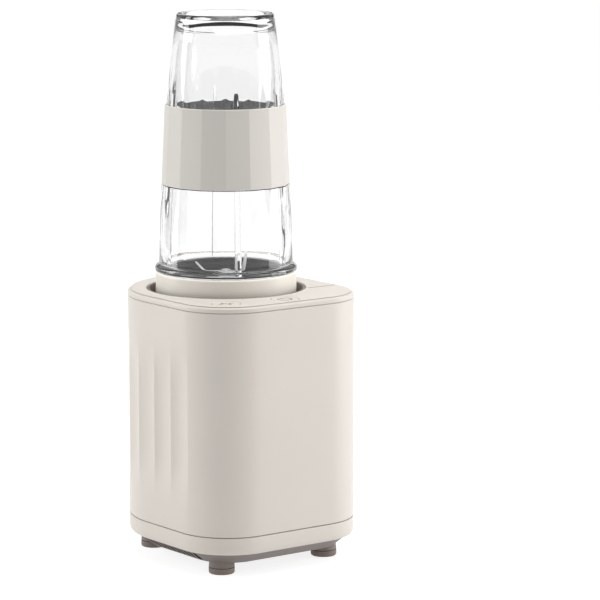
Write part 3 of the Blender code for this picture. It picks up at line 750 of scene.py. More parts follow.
class MakeBasePlate(PieceOperator):
    """Sloping plate under the base, with its foot bosses, side vents and grille"""

    bl_idname = "blender_parts.base_plate"
    bl_label = "Base Plate"

    VENTS, VENT_START, VENT_PITCH, VENT_WIDTH = 11, -47.0, 5.5, 3.5
    VENT_NEAR, VENT_LOW, VENT_HIGH = 46.5, 9.2, 14.4
    GRILLE_ROWS, GRILLE_PITCH = 7, 6.0

    def make(self):
        plan = Plan()
        rim = levels("skirt")[0] - 0.3
        floor, top = 8.0, levels("base_plate")[1]
        corners = [
            (14.8, floor + 2.6),
            (7.7, rim - 1.1),
            (7.7, top),
            (5.7, top),
            (5.7, rim),
            (4.1, rim),
            (4.0, rim - 0.3),
            (11.7, floor + 0.6),
            (12.5, floor + 0.15),
            (13.4, floor),
            (24.0, floor),
        ]
        plate = drawn(plan.sections(corners), plan.count)
        feet, screws = self.places("foot"), self.places("plate_screw")
        boss_bottom = levels("base_plate")[0]
        foot_boss = [(0, boss_bottom), (8.4, boss_bottom, 0.5), (7.9, 9.6), (0, 9.6)]
        screw_boss = [(0, floor + 0.6), (5.5, floor + 0.6), (5.5, 16, 0.4), (0, 16)]
        bosses = [turned(foot_boss, place, 48) for place in feet]
        bosses += [turned(screw_boss, place, 32) for place in screws]
        holes = [disc(3.3, 2.0, 9.8, place) for place in feet]
        sinks = [disc(4.0, 6.0, 11.2, place) for place in screws]
        bores = [disc(2.1, 6.0, 20.0, place) for place in screws]
        cuts = [together(holes), together(sinks), together(bores)]
        plate = combined(plate, "UNION", together(bosses))
        plate = combined(plate, "DIFFERENCE", *cuts, together(self.vents()), together(self.grille()))
        # The side walls of the vents take the darkened taupe: painted shade.
        for face in plate.faces:
            face.material_index = int(self.is_vent_wall(face))
        finishes = [finish("taupe"), finish("vent_shadow")]
        piece("sloping_base_plate", plate, "base", finishes, "taupe_plastic", ["base_plate"])

    def is_vent_wall(self, face):
        """True for the side walls of the vents, which take a darker finish as painted shade."""
        x, y, z = face.calc_center_median()
        end = self.VENT_START + self.VENTS * self.VENT_PITCH
        beside = self.VENT_NEAR < abs(x) < 60.5 and self.VENT_START - 1 < y < end
        return beside and self.VENT_LOW < z < self.VENT_HIGH and abs(face.normal.y) > 0.95

    def vents(self):
        slots = []
        for side in (-1, 1):
            for i in range(self.VENTS):
                y = self.VENT_START + i * self.VENT_PITCH
                near, far = sorted((side * self.VENT_NEAR, side * 64.0))
                slots.append(block((near, y, self.VENT_LOW), (far, y + self.VENT_WIDTH, self.VENT_HIGH), 0.4))
        return slots

    def grille(self):
        middle = (self.GRILLE_ROWS - 1) / 2
        rows = [(i - middle) * self.GRILLE_PITCH for i in range(self.GRILLE_ROWS)]
        return [block((-22.0, y - 1.5, 4.0), (22.0, y + 1.5, 14.0), 0.7) for y in rows]

    @staticmethod
    def places(kind):
        found = []
        for corner in ("front_left", "front_right", "rear_left", "rear_right"):
            low, high = span(f"{kind}_{corner}")
            found.append(tuple(((low + high) / 2).xy))
        return found


class MakeFeet(PieceOperator):
    """Four rubber feet and the four screws of the base plate"""

    bl_idname = "blender_parts.feet"
    bl_label = "Feet and Screws"

    def make(self):
        for corner in ("front_left", "front_right", "rear_left", "rear_right"):
            self.make_foot(f"foot_{corner}")
            self.make_screw(f"plate_screw_{corner}")

    @staticmethod
    def make_foot(node):
        low, high = span(node)
        centre = tuple(((low + high) / 2).xy)
        pad = 4.0
        corners = [
            (0.0, low.z + 0.3),
            (5.2, low.z + 0.3, 0.2),
            (5.6, low.z, 0.2),
            (8.4, low.z, 1.4),
            (8.4, pad, 0.3),
            (3.0, pad),
            (3.0, high.z, 0.6),
            (0.0, high.z),
        ]
        piece(f"{node}_rubber", turned(corners, centre, 64), "base", finish("foot"), "taupe_rubber", [node])

    @staticmethod
    def make_screw(node):
        """Pan-headed screw with a cross recess."""
        low, high = span(node)
        centre = ((low + high) / 2).xy
        head = low.z + 1.9
        corners = [(0.0, low.z), (3.6, low.z, 0.9), (3.6, head), (1.5, head)]
        corners += [(1.5, high.z - 1.2), (0.0, high.z)]
        screw = turned(corners, tuple(centre), 32)
        arms = [block((-1.9, -0.35, -1.0), (1.9, 0.35, 1.1)), block((-0.35, -1.9, -1.0), (0.35, 1.9, 1.1))]
        cross = moved(combined(arms[0], "UNION", arms[1]), *centre, low.z)
        screw = combined(screw, "DIFFERENCE", cross)
        piece(f"{node}_cross_head", screw, "base", finish("steel"), "steel", [node])


class MakeCordGland(PieceOperator):
    """Rubber gland in the back wall, where a cord would leave"""

    bl_idname = "blender_parts.cord_gland"
    bl_label = "Cord Gland"

    def make(self):
        low, high = span("cord_gland")
        inside, outside = low.y, high.y
        corners = [
            (3.2, inside, 0.3),
            (8.0, inside, 0.4),
            (8.0, inside + 4.0, 0.4),
            (5.7, inside + 4.0),
            (5.7, outside, 0.5),
            (3.2, outside, 0.5),
        ]
        gland = moved(swung(turned(corners, segments=64), -90, "X"), 0.0, 0.0, (low.z + high.z) / 2)
        piece("cord_gland_ring", gland, "base", finish("foot"), "taupe_rubber", ["cord_gland"])


# ============================================================ operators: deck, well and controls
class MakeDeck(PieceOperator):
    """Deck that closes the top of the base round the well"""

    bl_idname = "blender_parts.deck"
    bl_label = "Deck"

    def make(self):
        plan = Plan()
        lip, top = levels("deck")
        seat = levels("body_shell")[1] + 0.3
        wall = in_mm("wall") + 0.3
        corners = [
            (4.9, seat),
            (4.9, lip),
            (wall, lip, 0.3),
            (wall, seat),
            (0.0, seat, 0.3),
            (0.0, top - 1.5, 0.4),
            (1.5, top - 0.6),
            (2.7, top - 0.65),
            (2.7, top - 0.3),
            (1.75, top - 0.18),
            (2.05, top),
        ]
        deck = drawn(plan.sections(corners), plan.count)
        well = turned(self.flared(51.9, 0.6, 0.1, lip, top), segments=160)
        holes = [self.button_hole(node, lip, top) for node in ("power_button", "pulse_button")]
        deck = combined(deck, "DIFFERENCE", well, together(holes), self.parting_groove(top))
        piece("deck_cap", deck, "base", finish("cream"), "cream_plastic", ["deck"], 28.0)

    @staticmethod
    def flared(radius, flare, over, lip, top):
        """Section of a round cutter that widens by flare up to a little over the deck's top."""
        start, end, rim = lip - 9, top + 3, radius + flare
        return [(0, start), (radius, start), (radius, top - 0.5), (rim, top + over), (rim, end), (0, end)]

    def button_hole(self, node, lip, top):
        return turned(self.flared(BUTTON_RADIUS + 0.4, 0.45, 0.05, lip, top), button_centre(node), 64)

    @staticmethod
    def parting_groove(top):
        """Hairline joint that runs from the well to the right side, level with the front of the well.
        It slants down away from the front, so that it stays dark."""
        return moved(swung(block((38.0, -1.5, -0.17), (70.0, 3.0, 0.17)), -20, "X"), 0.0, -37.5, top)


def button_centre(node):
    """Plan place of a button, from its switch, which sits under its middle."""
    low, high = span(node.replace("button", "switch"))
    return tuple(((low + high) / 2).xy)


class MakeWell(PieceOperator):
    """Taupe well that the blade base drops into"""

    bl_idname = "blender_parts.well"
    bl_label = "Well"

    def make(self):
        low, high = span("well_liner")
        floor = levels("lock_ring")[0] - 0.5
        seat = levels("body_shell")[1]
        bore = 17.0
        inner = radius_of("lock_ring") + 0.4
        corners = [
            (bore, floor - 2.5, 0.3),
            (inner + 2.0, floor - 2.5, 0.6),
            (inner + 2.0, seat - 2.5),
            (inner + 5.0, seat - 2.5, 0.3),
            (inner + 5.0, seat, 0.3),
            (inner + 1.5, seat),
            (inner + 1.5, high.z, 0.4),
            (inner, high.z, 0.6),
            (inner, floor, 0.5),
            (bore, floor, 0.5),
        ]
        well = turned(corners, segments=160)
        bolts = [self.screw_place("motor_screw_left"), self.screw_place("motor_screw_right")]
        boss = [(0, low.z), (5, low.z, 0.4), (5, floor - 1.2), (0, floor - 1.2)]
        bosses = [turned(boss, place, 40) for place in bolts]
        bores = [disc(2.1, low.z - 2, floor - 6.5, place) for place in bolts]
        plunger = disc(2.1, floor - 8.0, floor + 5.0, self.screw_place("interlock_plunger"), segments=35)
        well = combined(well, "UNION", together(bosses))
        well = combined(well, "DIFFERENCE", together(bores), plunger)
        piece("well_cup", well, "base", finish("taupe"), "taupe_plastic", ["well_liner"])

    @staticmethod
    def screw_place(node):
        low, high = span(node)
        return tuple(((low + high) / 2).xy)


class MakeButtons(PieceOperator):
    """Power and pulse buttons, each with a plain printed symbol"""

    bl_idname = "blender_parts.buttons"
    bl_label = "Buttons"

    def make(self):
        for node in ("power_button", "pulse_button"):
            centre = button_centre(node)
            low, high = levels(node)
            catch = low + 1.3
            corners = [
                (0.0, low),
                (2.0, low, 0.2),
                (2.0, catch),
                (BUTTON_RADIUS, catch),
                (BUTTON_RADIUS, high, 0.45),
                (7.7, high, 0.5),
                (6.9, high - 0.22, 0.5),
                (0.0, high - 0.22),
            ]
            button = turned(corners, centre, 72)
            angle = math.degrees(math.atan2(centre[1], centre[0]))
            away = math.hypot(*centre)
            tabs = swung(block((away - 3.5, -10.8, catch + 0.3), (away + 3.5, 10.8, catch + 1.6), 0.2), angle)
            button = combined(button, "UNION", tabs)
            piece(f"{node}_cap", button, node, finish("cream"), "cream_plastic", [node])
            symbol = self.power_symbol() if node == "power_button" else self.pulse_symbol()
            moved(symbol, *centre, high - 0.24)
            piece(f"{node}_symbol", symbol, node, finish("print"), "cream_plastic")

    @staticmethod
    def power_symbol():
        """An open ring with an upright bar in its gap."""
        ring = sweep_round(block((3.85, -0.55, 0.0), (4.95, 0.55, 0.06)), 290.0, 125.0)
        return together([ring, block((-0.55, 0.6, 0.0), (0.55, 5.6, 0.06))])

    @staticmethod
    def pulse_symbol():
        """A level line that jumps up and down once."""
        corners = [(-5.6, 0.0), (-2.6, 0.0), (-1.1, 3.6), (1.1, -3.6), (2.6, 0.0), (5.6, 0.0)]
        bars = []
        for start, end in zip(corners, corners[1:]):
            start, end = Vector(start), Vector(end)
            along = end - start
            bar = block((-0.4, -0.5, 0.0), (along.length + 0.4, 0.5, 0.06))
            bars.append(moved(swung(bar, math.degrees(math.atan2(along.y, along.x))), *start, 0.0))
        return combined(bars[0], "UNION", *bars[1:])


def sweep_round(bar, degrees, start):
    """Bends a short bar into part of a ring: its end face is swept round the upright axis."""
    everything = bar.verts[:] + bar.edges[:] + bar.faces[:]
    bmesh.ops.bisect_plane(bar, geom=everything, plane_co=(0, 0, 0), plane_no=(0, 1, 0), clear_outer=True)
    rim = [edge for edge in bar.edges if all(abs(vert.co.y) < 1e-6 for vert in edge.verts)]
    bmesh.ops.delete(bar, geom=bar.faces[:], context="FACES_ONLY")
    loose = [edge for edge in bar.edges if edge not in rim]
    bmesh.ops.delete(bar, geom=loose, context="EDGES")
    face = bmesh.ops.contextual_create(bar, geom=rim)["faces"]
    swung(bar, start)
    bmesh.ops.spin(
        bar,
        geom=face + bar.edges[:] + bar.verts[:],
        cent=(0, 0, 0),
        axis=(0, 0, 1),
        angle=math.radians(degrees),
        steps=48,
        use_duplicate=False,
    )
    bmesh.ops.remove_doubles(bar, verts=bar.verts, dist=0.0005)
    return outwards(bar)


# ============================================================ operators: lock and couplings
def sector(inner, outer, start, end, low, high_at, edge=0.0, step=3.0):
    """Part of a ring between two angles. high_at gives the height of its top at an angle."""
    count = max(1, round(abs(end - start) / step))

    def slice_at(degrees):
        turn = Matrix.Rotation(math.radians(degrees), 3, "Z")
        corners = ((inner, low), (outer, low), (outer, high_at(degrees)), (inner, high_at(degrees)))
        return lambda k: turn @ Vector((corners[k][0], 0.0, corners[k][1]))

    bm = drawn([slice_at(start + (end - start) * i / count) for i in range(count + 1)], 4)
    if edge > 0:
        crisp = [e for e in bm.edges if e.calc_face_angle(0.0) > math.radians(40)]
        bmesh.ops.bevel(bm, geom=crisp, offset=edge, affect="EDGES", segments=2, profile=0.5, material=-1)
    return bm


class MakeLockRing(PieceOperator):
    """Turning ring at the foot of the well: four pockets above, a cam groove for the interlock below"""

    bl_idname = "blender_parts.lock_ring"
    bl_label = "Lock Ring"

    def make(self):
        low, high = levels("lock_ring")
        outer, lip = radius_of("lock_ring"), radius_of("sleeve") + 4.8
        shelf = low + 6.4
        corners = [
            (40.0, low, 0.3),
            (outer, low, 0.3),
            (outer, high, 0.5),
            (lip, high, 0.7),
            (lip, shelf, 0.3),
            (40.0, shelf, 0.5),
        ]
        ring = turned(corners, segments=144)
        half = TAB_HALF + 0.7
        pockets = [sector(44.8, outer + 1, a - half, a + half, shelf, lambda _: high + 9) for a in TAB_ANGLES]
        ring = combined(ring, "DIFFERENCE", together(pockets), self.cam_groove(low))
        piece("lock_ring_track", ring, "lock_ring", finish("taupe"), "taupe_plastic", ["lock_ring"])

    @staticmethod
    def cam_groove(low):
        """Its roof falls evenly towards the locked place, so that the plunger rises on unlocking."""
        def roof(degrees):
            return low + 0.5 + 3.0 * (90.0 - degrees) / 40.0

        return sector(42.7, 47.3, 94.0, 46.0, low - 2.0, roof, step=2.0)


class MakeCouplings(PieceOperator):
    """Drive coupling on the motor shaft and the driven coupling under the blade base"""

    bl_idname = "blender_parts.couplings"
    bl_label = "Couplings"

    def make(self):
        low, high = levels("drive_coupling")
        hub = [
            (4.3, low),
            (14.2, low, 0.4),
            (14.2, low + 2.6, 0.5),
            (6.4, low + 2.6, 0.3),
            (6.4, low + 4.2, 0.3),
            (4.3, low + 4.2),
        ]
        drive = combined(turned(hub, segments=96), "UNION", self.dogs(0.0, low + 1.4, high))
        black, slot = finish("black"), "black_plastic"
        piece("drive_coupling_dogs", drive, "motor_rotor", black, slot, ["drive_coupling"])
        low, high = levels("driven_coupling")
        hub = [
            (3.3, high - 3.6),
            (5.6, high - 3.6, 0.3),
            (5.6, high - 3.0),
            (14.6, high - 3.0, 0.5),
            (14.6, high, 0.5),
            (3.3, high),
        ]
        driven = combined(turned(hub, segments=96), "UNION", self.dogs(30.0, low, high - 1.4))
        piece("driven_coupling_dogs", driven, "blades", black, slot, ["driven_coupling"])

    @staticmethod
    def dogs(start, low, high):
        teeth = [sector(7.2, 13.5, a - 12.5, a + 12.5, low, lambda _: high, 0.5) for a in evenly(6, start)]
        return together(teeth)


# ============================================================ operators: blade base
class MakeBladeBase(PieceOperator):
    """Threaded collar with its lock tabs, the dished blade plate, the cup seal, the bush and its nut"""

    bl_idname = "blender_parts.blade_base"
    bl_label = "Blade Base"

    def make(self):
        self.make_collar()
        self.make_plate()
        low, high = levels("cup_seal")
        inner, outer = 39.2, radius_of("cup_seal")
        middle = (low + high) / 2
        section = [
            (inner, low, 0.5),
            (outer, low, 0.5),
            (outer, middle - 0.25, 0.1),
            (outer - 0.5, middle, 0.1),
            (outer, middle + 0.25, 0.1),
            (outer, high, 0.5),
            (inner, high, 0.5),
        ]
        seal = turned(section, segments=144)
        piece("cup_seal_ring", seal, "blade_base", finish("rubber"), "silicone", ["cup_seal"])
        self.make_bush()

    @staticmethod
    def make_collar():
        low, high = levels("collar")
        outer = 45.8
        floor = levels("cup_seal")[0] - 0.3
        corners = [
            (6.3, floor - 2.5, 0.3),
            (42.8, floor - 2.5, 0.5),
            (42.8, low, 0.4),
            (outer, low, 0.6),
            (outer, high, 1.3),
            (43.5, high, 0.5),
            (43.5, 178.6),
            (43.9, 178.0),
            (43.9, 177.2),
            (43.5, 176.6),
            (43.5, floor, 0.4),
            (6.3, floor, 0.3),
        ]
        collar = turned(corners, segments=192)
        tab_top = low + 3.4
        tabs = []
        for middle in TAB_ANGLES:
            start, end = middle - TAB_HALF, middle + TAB_HALF
            tabs.append(sector(44.0, 48.8, start, end, low, lambda _: tab_top, 0.5))
        collar = combined(collar, "UNION", together(tabs))
        # The collar takes the lighter copy of the cream: painted light.
        piece("collar_ring", collar, "blade_base", finish("collar"), "cream_plastic", ["collar"])

    @staticmethod
    def make_plate():
        """A dish: a raised rim, a steep wall and a nearly flat floor with a step round the bush."""
        low, high = levels("blade_plate")
        rim = radius_of("blade_plate")
        floor = levels("bush_nut")[0] - 0.3
        section = [
            (6.3, low),
            (rim, low, 0.5),
            (rim, high, 0.7),
            (rim - 2.2, high, 0.6),
            (rim - 4.5, floor + 2.9, 1.2),
            (rim - 7.0, floor + 0.8, 1.4),
            (rim - 10.5, floor, 0.6),
            (22.0, floor, 0.2),
            (21.2, floor - 0.35, 0.2),
            (13.2, floor - 0.35, 0.2),
            (12.4, floor, 0.2),
            (6.3, floor, 0.2),
        ]
        dish = turned(section, segments=160)
        piece("blade_dish", dish, "blade_base", finish("plate"), "dark_plate", ["blade_plate"])

    @staticmethod
    def make_bush():
        low, high = levels("shaft_bush")
        flange = levels("collar")[0] + 9.8
        section = [
            (3.3, low, 0.2),
            (6.0, low, 0.5),
            (6.0, flange),
            (9.0, flange, 0.3),
            (9.0, flange + 2.6, 0.2),
            (6.0, flange + 2.6),
            (6.0, high, 0.5),
            (3.3, high, 0.2),
        ]
        bush = turned(section, segments=72)
        piece("shaft_bush_turned", bush, "blade_base", finish("steel"), "steel", ["shaft_bush"])
        low, high = levels("bush_nut")
        section = [(6.3, low, 0.2), (9.0, low, 0.5), (9.4, low + 0.4), (9.4, high - 0.5)]
        section += [(8.4, high, 0.2), (6.3, high, 0.3)]
        nut = turned(section, segments=72)
        flats = [swung(block((8.2, -12.0, low - 5), (12.0, 12.0, high + 5)), angle) for angle in evenly(6)]
        nut = combined(nut, "DIFFERENCE", together(flats))
        piece("bush_nut_hexagon", nut, "blade_base", finish("steel"), "steel", ["bush_nut"])


# ============================================================ operators: blades
class MakeBlades(PieceOperator):
    """Two crossed blades with their ground edges, the washer, the shaft and the dome nut"""

    bl_idname = "blender_parts.blades"
    bl_label = "Blades"

    THICKNESS = 1.2
    LOWER_TURN, UPPER_TURN = 58.0, 331.0  # where each blade's long axis stands at rest, in degrees

    def make(self):
        low, high = levels("blade_shaft")
        thread = [(3.0, high - 3.2 + 0.8 * i + lift) for i in range(3) for lift in (0.0, 0.3)]
        shaft = [(0.0, low), (2.4, low), (3.0, low + 0.6), *thread, (2.6, high), (0.0, high)]
        made = turned(shaft, segments=48)
        piece("blade_shaft_turned", made, "blades", finish("steel"), "steel", ["blade_shaft"])
        low, high = levels("blade_washer")
        washer = turned([(3.3, low, 0.1), (6.4, low, 0.2), (6.4, high, 0.2), (3.3, high, 0.1)], segments=72)
        piece("blade_washer_flat", washer, "blades", finish("steel"), "steel", ["blade_washer"])
        base = levels("lower_blade")[1] - self.THICKNESS
        lower = [(-27.0, -1.4, 1.0), (-25.6, -1.3, 2.3), (-22.0, -0.9, 3.7), (-13.0, 0.0, 5.7)]
        lower += [(-8.0, 0.0, 5.8)]
        lower += [(-along, lift, half) for along, lift, half in reversed(lower)]
        self.make_blade("lower_blade", base, self.LOWER_TURN, lower)
        base = levels("blade_nut")[0] - 0.3 - self.THICKNESS
        upper = [(-20.3, 10.2, 0.9), (-19.3, 8.9, 2.3), (-16.5, 5.2, 4.3), (-13.6, 1.4, 5.5)]
        upper += [(-12.6, 0.5, 5.7), (-11.2, 0.0, 5.8)]
        upper += [(9.0, 0.0, 5.8), (10.4, 0.4, 5.8), (11.2, 1.4, 5.7), (11.7, 3.2, 5.5)]
        upper += [(12.7, 9.4, 4.5), (13.6, 15.2, 2.6), (13.9, 17.0, 0.9)]
        self.make_blade("upper_blade", base, self.UPPER_TURN, upper)
        self.make_nut()

    def make_blade(self, node, z, turn, stations):
        """A wing of sheet steel through stations of (distance along, lift, half width), with ground edges."""
        def section(index):
            along, lift, half = stations[index]
            before, after = stations[max(0, index - 1)], stations[min(len(stations) - 1, index + 1)]
            slope = math.atan2(after[1] - before[1], after[0] - before[0])
            up = Vector((-math.sin(slope), 0.0, math.cos(slope))) * self.THICKNESS
            ground = min(2.2, half * 0.6)
            low = Vector((along, 0.0, z + lift))
            across = [-half, half, half, half - ground, -half + ground, -half]
            rise = [0.0, 0.0, 0.22, 1.0, 1.0, 0.22]
            return lambda k: low + up * rise[k] + Vector((0.0, across[k], 0.0))

        wing = drawn([section(i) for i in range(len(stations))], 6)
        hole = disc(3.3, z - 5.0, z + 6.0, segments=48)
        made = swung(combined(wing, "DIFFERENCE", hole), turn)
        piece(f"{node}_ground", made, "blades", finish("ground_steel"), "steel", [node], 24.0)

    @staticmethod
    def make_nut():
        """A low dome nut: six shallow flats below a rounded cap."""
        low, high = levels("blade_nut")
        section = [
            (0.0, low + 0.8),
            (3.3, low + 0.8),
            (3.3, low),
            (4.4, low, 0.2),
            (4.4, low + 0.7, 0.2),
            (4.0, low + 0.8, 0.1),
            (3.7, low + 1.5, 0.5),
            (2.6, high - 0.5, 0.9),
            (1.2, high, 0.6),
            (0.0, high),
        ]
        nut = turned(section, segments=72)
        flats = [swung(block((4.15, -8, low - 1), (9, 8, low + 0.75)), angle) for angle in evenly(6, 15.0)]
        nut = combined(nut, "DIFFERENCE", together(flats))
        piece("blade_nut_dome", nut, "blades", finish("steel"), "steel", ["blade_nut"])


# ============================================================ operators: cup and sleeve
class Facets:
    """Flats round an upright surface, as many and as turned as the settings say."""

    def __init__(self, per_facet):
        self.count = sizes().facets
        self.per_facet = per_facet
        self.points = self.count * per_facet
        self.half = math.pi / self.count
        self.turn = sizes().facet_turn

    def ring(self, radius, z, strength=0.0):
        """A ring that is round at strength 0 and has full flats at strength 1. In between, each flat is
        narrower than its share, so that it ends in an arch."""
        def at(k):
            within = k % self.per_facet / self.per_facet * 2 * self.half - self.half
            plane = radius * (1 - strength * (1 - math.cos(self.half))) / math.cos(within)
            r = min(radius, plane) if strength > 0 else radius
            angle = self.turn + 2 * self.half * k / self.per_facet
            return Vector((r * math.cos(angle), r * math.sin(angle), z))

        return at


class MakeCup(PieceOperator):
    """Clear inverted cup: neck, flange, faceted wall, four inner ribs and the recessed closed end"""

    bl_idname = "blender_parts.cup"
    bl_label = "Cup"

    NECK = [
        (42.0, 174.3, 0.5),
        (42.0, 176.4, 0.3),
        (42.9, 177.4, 0.3),
        (42.9, 178.6, 0.3),
        (42.0, 179.6, 0.3),
        (42.0, 186.2, 0.6),
        (46.2, 186.2, 1.2),
        (46.2, 189.9, 1.6),
        (43.7, 191.2, 1.4),
        (43.38, 196.0),
    ]
    CLOSED_END = [
        (31.9, 350.2),
        (31.2, 353.3, 1.6),
        (28.9, 353.3, 0.9),
        (27.6, 349.8, 0.5),
        (0.0, 349.8),
    ]
    DOME = [
        (3.0, 348.1),
        (9.0, 347.8),
        (15.0, 347.2),
        (20.0, 346.4),
        (24.0, 345.3),
        (26.8, 343.8),
        (28.6, 341.8),
    ]
    RIBS = 4

    @staticmethod
    def radius(z):
        """Outside radius: a gentle curve from the flange in to the closed end."""
        up = z - 195.0
        return 43.4 - 0.020 * up - 0.000346 * up * up

    @staticmethod
    def strength(z):
        """How full the flats are at a height."""
        rising = min(1.0, max(0.0, (z - 204.0) / 38.0))
        falling = min(1.0, max(0.0, (324.0 - z) / 28.0))
        return min(rising, falling) ** 2

    def seat(self, z):
        """Outside radius under the sleeve, where the cup is stepped in."""
        low, high = levels("sleeve")
        return 39.7 + (37.9 - 39.7) * (z - low) / (high - low)

    def make(self):
        facets = Facets(12)
        outer = [facets.ring(r, z) for r, z in rounded(self.NECK, 10)[11:]]
        low, high = levels("sleeve")
        heights = [z for z in range(198, 350, 3) if not low - 1.2 < z < high + 1.2]
        shoulders = [(low - 0.5, self.radius(low - 0.5)), (low - 0.3, self.seat(low))]
        shoulders += [(high + 0.3, self.seat(high)), (high + 0.8, self.radius(high))]
        profile = sorted([(z, self.radius(z)) for z in heights] + shoulders)
        outer += [facets.ring(r, z, self.strength(z)) for z, r in profile]
        outer += [facets.ring(r, z) for r, z in rounded(self.CLOSED_END, 10) if r > 0]
        cup = self.hollow(outer, facets)
        cup = combined(cup, "UNION", together(self.ribs()))
        wall = piece("cup_clear_wall", cup, "cup", finish("clear"), "clear_plastic", ["cup"], 21.0)
        wall.visible_shadow = False  # clear plastic would otherwise shade the collar as if it were opaque

    def hollow(self, outer, facets):
        """One closed skin: from the middle of the domed inside, down the inner wall, round the rim and up."""
        wall = in_mm("cup_wall")
        inner = [*self.DOME, *((self.radius(z) - wall, float(z)) for z in range(334, 194, -7))]
        inner += [(39.5, 190.0), (39.5, 180.0)]
        rim = rounded([(39.5, 190.0), (39.5, 174.3, 0.6), (42.0, 174.3, 0.6), (42.0, 176.0)], 6)[1:-1]
        sections = [facets.ring(r, z) for r, z in inner + rim]
        return drawn(sections + outer, facets.points)

    def ribs(self):
        """Upright ribs that stir the contents, rounded along their inner edge."""
        shapes = []
        start = math.degrees(sizes().facet_turn) + 2.5 * 360.0 / sizes().facets
        for angle in evenly(self.RIBS, start):
            def section(z, inner, outer, half):
                side = [(outer, half), (inner + 1.1, half * 0.92), (inner + 0.3, half * 0.68)]
                ring = [(r, -across) for r, across in side] + [(inner, 0.0)] + side[::-1]
                return lambda k: Vector((ring[k][0], ring[k][1], z))

            stations = [(187.8, 37.0, 41.0, 2.0), (188.6, 36.3, 41.0, 2.0), (228.0, 34.9, 40.6, 1.9)]
            stations += [(241.0, 34.3, 39.9, 1.9), (243.6, 34.2, 38.8, 1.9), (262.0, 33.4, 38.0, 1.8)]
            stations += [(292.0, 31.4, 36.95, 1.7), (297.0, 31.1, 36.2, 1.7), (301.0, 31.9, 35.9, 1.6)]
            stations += [(304.5, 33.8, 35.4, 1.5)]
            shapes.append(swung(drawn([section(*station) for station in stations], 7), angle))
        return shapes


class MakeSleeve(PieceOperator):
    """Faceted grip sleeve whose inner faces take a dark grey finish as painted shade"""

    bl_idname = "blender_parts.sleeve"
    bl_label = "Grip Sleeve"

    def make(self):
        low, high = levels("sleeve")
        facets = Facets(1)
        outer = [(39.2 - 0.4, high), (39.2, high - 0.4), (41.6, low + 0.2), (41.6 - 0.2, low)]
        inner = [(40.05 + 0.2, low), (38.25 + 0.2, high)]
        rings = [facets.ring(r, z, 1.0) for r, z in outer + inner + outer[:1]]
        bm = self.closed(rings, facets.points)
        upright = [e for e in bm.edges if self.is_outer_upright(e)]
        bmesh.ops.bevel(bm, geom=upright, offset=0.35, affect="EDGES", segments=2, profile=0.5, material=-1)
        # Faces that point inwards take the dark finish: painted shade inside the sleeve.
        for face in bm.faces:
            facing = face.normal.xy.dot(face.calc_center_median().xy)
            face.material_index = 1 if facing < -0.5 * face.calc_center_median().xy.length else 0
        finishes = [finish("sleeve"), finish("sleeve_painted_shade")]
        piece("grip_sleeve", bm, "cup", finishes, "cream_plastic", ["sleeve"], 14.0)

    @staticmethod
    def closed(rings, count):
        """A wall whose last ring lies on its first: the two are merged, and the end faces removed."""
        bm = drawn(rings, count)
        ends = [face for face in bm.faces if len(face.verts) == count]
        bmesh.ops.delete(bm, geom=ends, context="FACES_ONLY")
        bmesh.ops.remove_doubles(bm, verts=bm.verts, dist=0.0005)
        return outwards(bm)

    @staticmethod
    def is_outer_upright(edge):
        a, b = edge.verts
        tall = abs(a.co.z - b.co.z) > 5.0
        return tall and (a.co.xy.length + b.co.xy.length) / 2 > 40.0


# ============================================================ operators: insides
class FinishInsides(PieceOperator):
    """Finishes of the engineered parts that stay: the motor, switches, board and interlock"""

    bl_idname = "blender_parts.insides"
    bl_label = "Insides"

    FINISH_OF = {
        "sheet_steel": ("motor_top_bracket", "motor_bottom_bracket", "interlock_bracket"),
        "steel": (
            "motor_shaft",
            "motor_top_bearing",
            "motor_bottom_bearing",
            "motor_screw_left",
            "motor_screw_right",
            "interlock_spring",
            "interlock_plunger",
        ),
        "laminations": ("stator_stack", "armature"),
        "winding": ("upper_winding", "lower_winding"),
        "copper": ("commutator",),
        "black": (
            "cooling_fan",
            "brush_front",
            "brush_rear",
            "power_switch",
            "pulse_switch",
            "interlock_switch",
        ),
        "board": ("control_board",),
    }

    def make(self):
        for name, nodes in self.FINISH_OF.items():
            for node in nodes:
                for material_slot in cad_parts[node].material_slots:
                    material_slot.material = finish(name)


# ============================================================ operators: the stage
def dimmed_for_diffuse(tree, socket, seen, cast):
    """Drives a strength: seen is how bright a source looks, cast is how brightly it lights matte faces."""
    path = tree.nodes.new("ShaderNodeLightPath")
    strength = tree.nodes.new("ShaderNodeMapRange")
    strength.inputs["To Min"].default_value = seen
    strength.inputs["To Max"].default_value = cast
    tree.links.new(path.outputs["Is Diffuse Ray"], strength.inputs["Value"])
    tree.links.new(strength.outputs["Result"], socket)


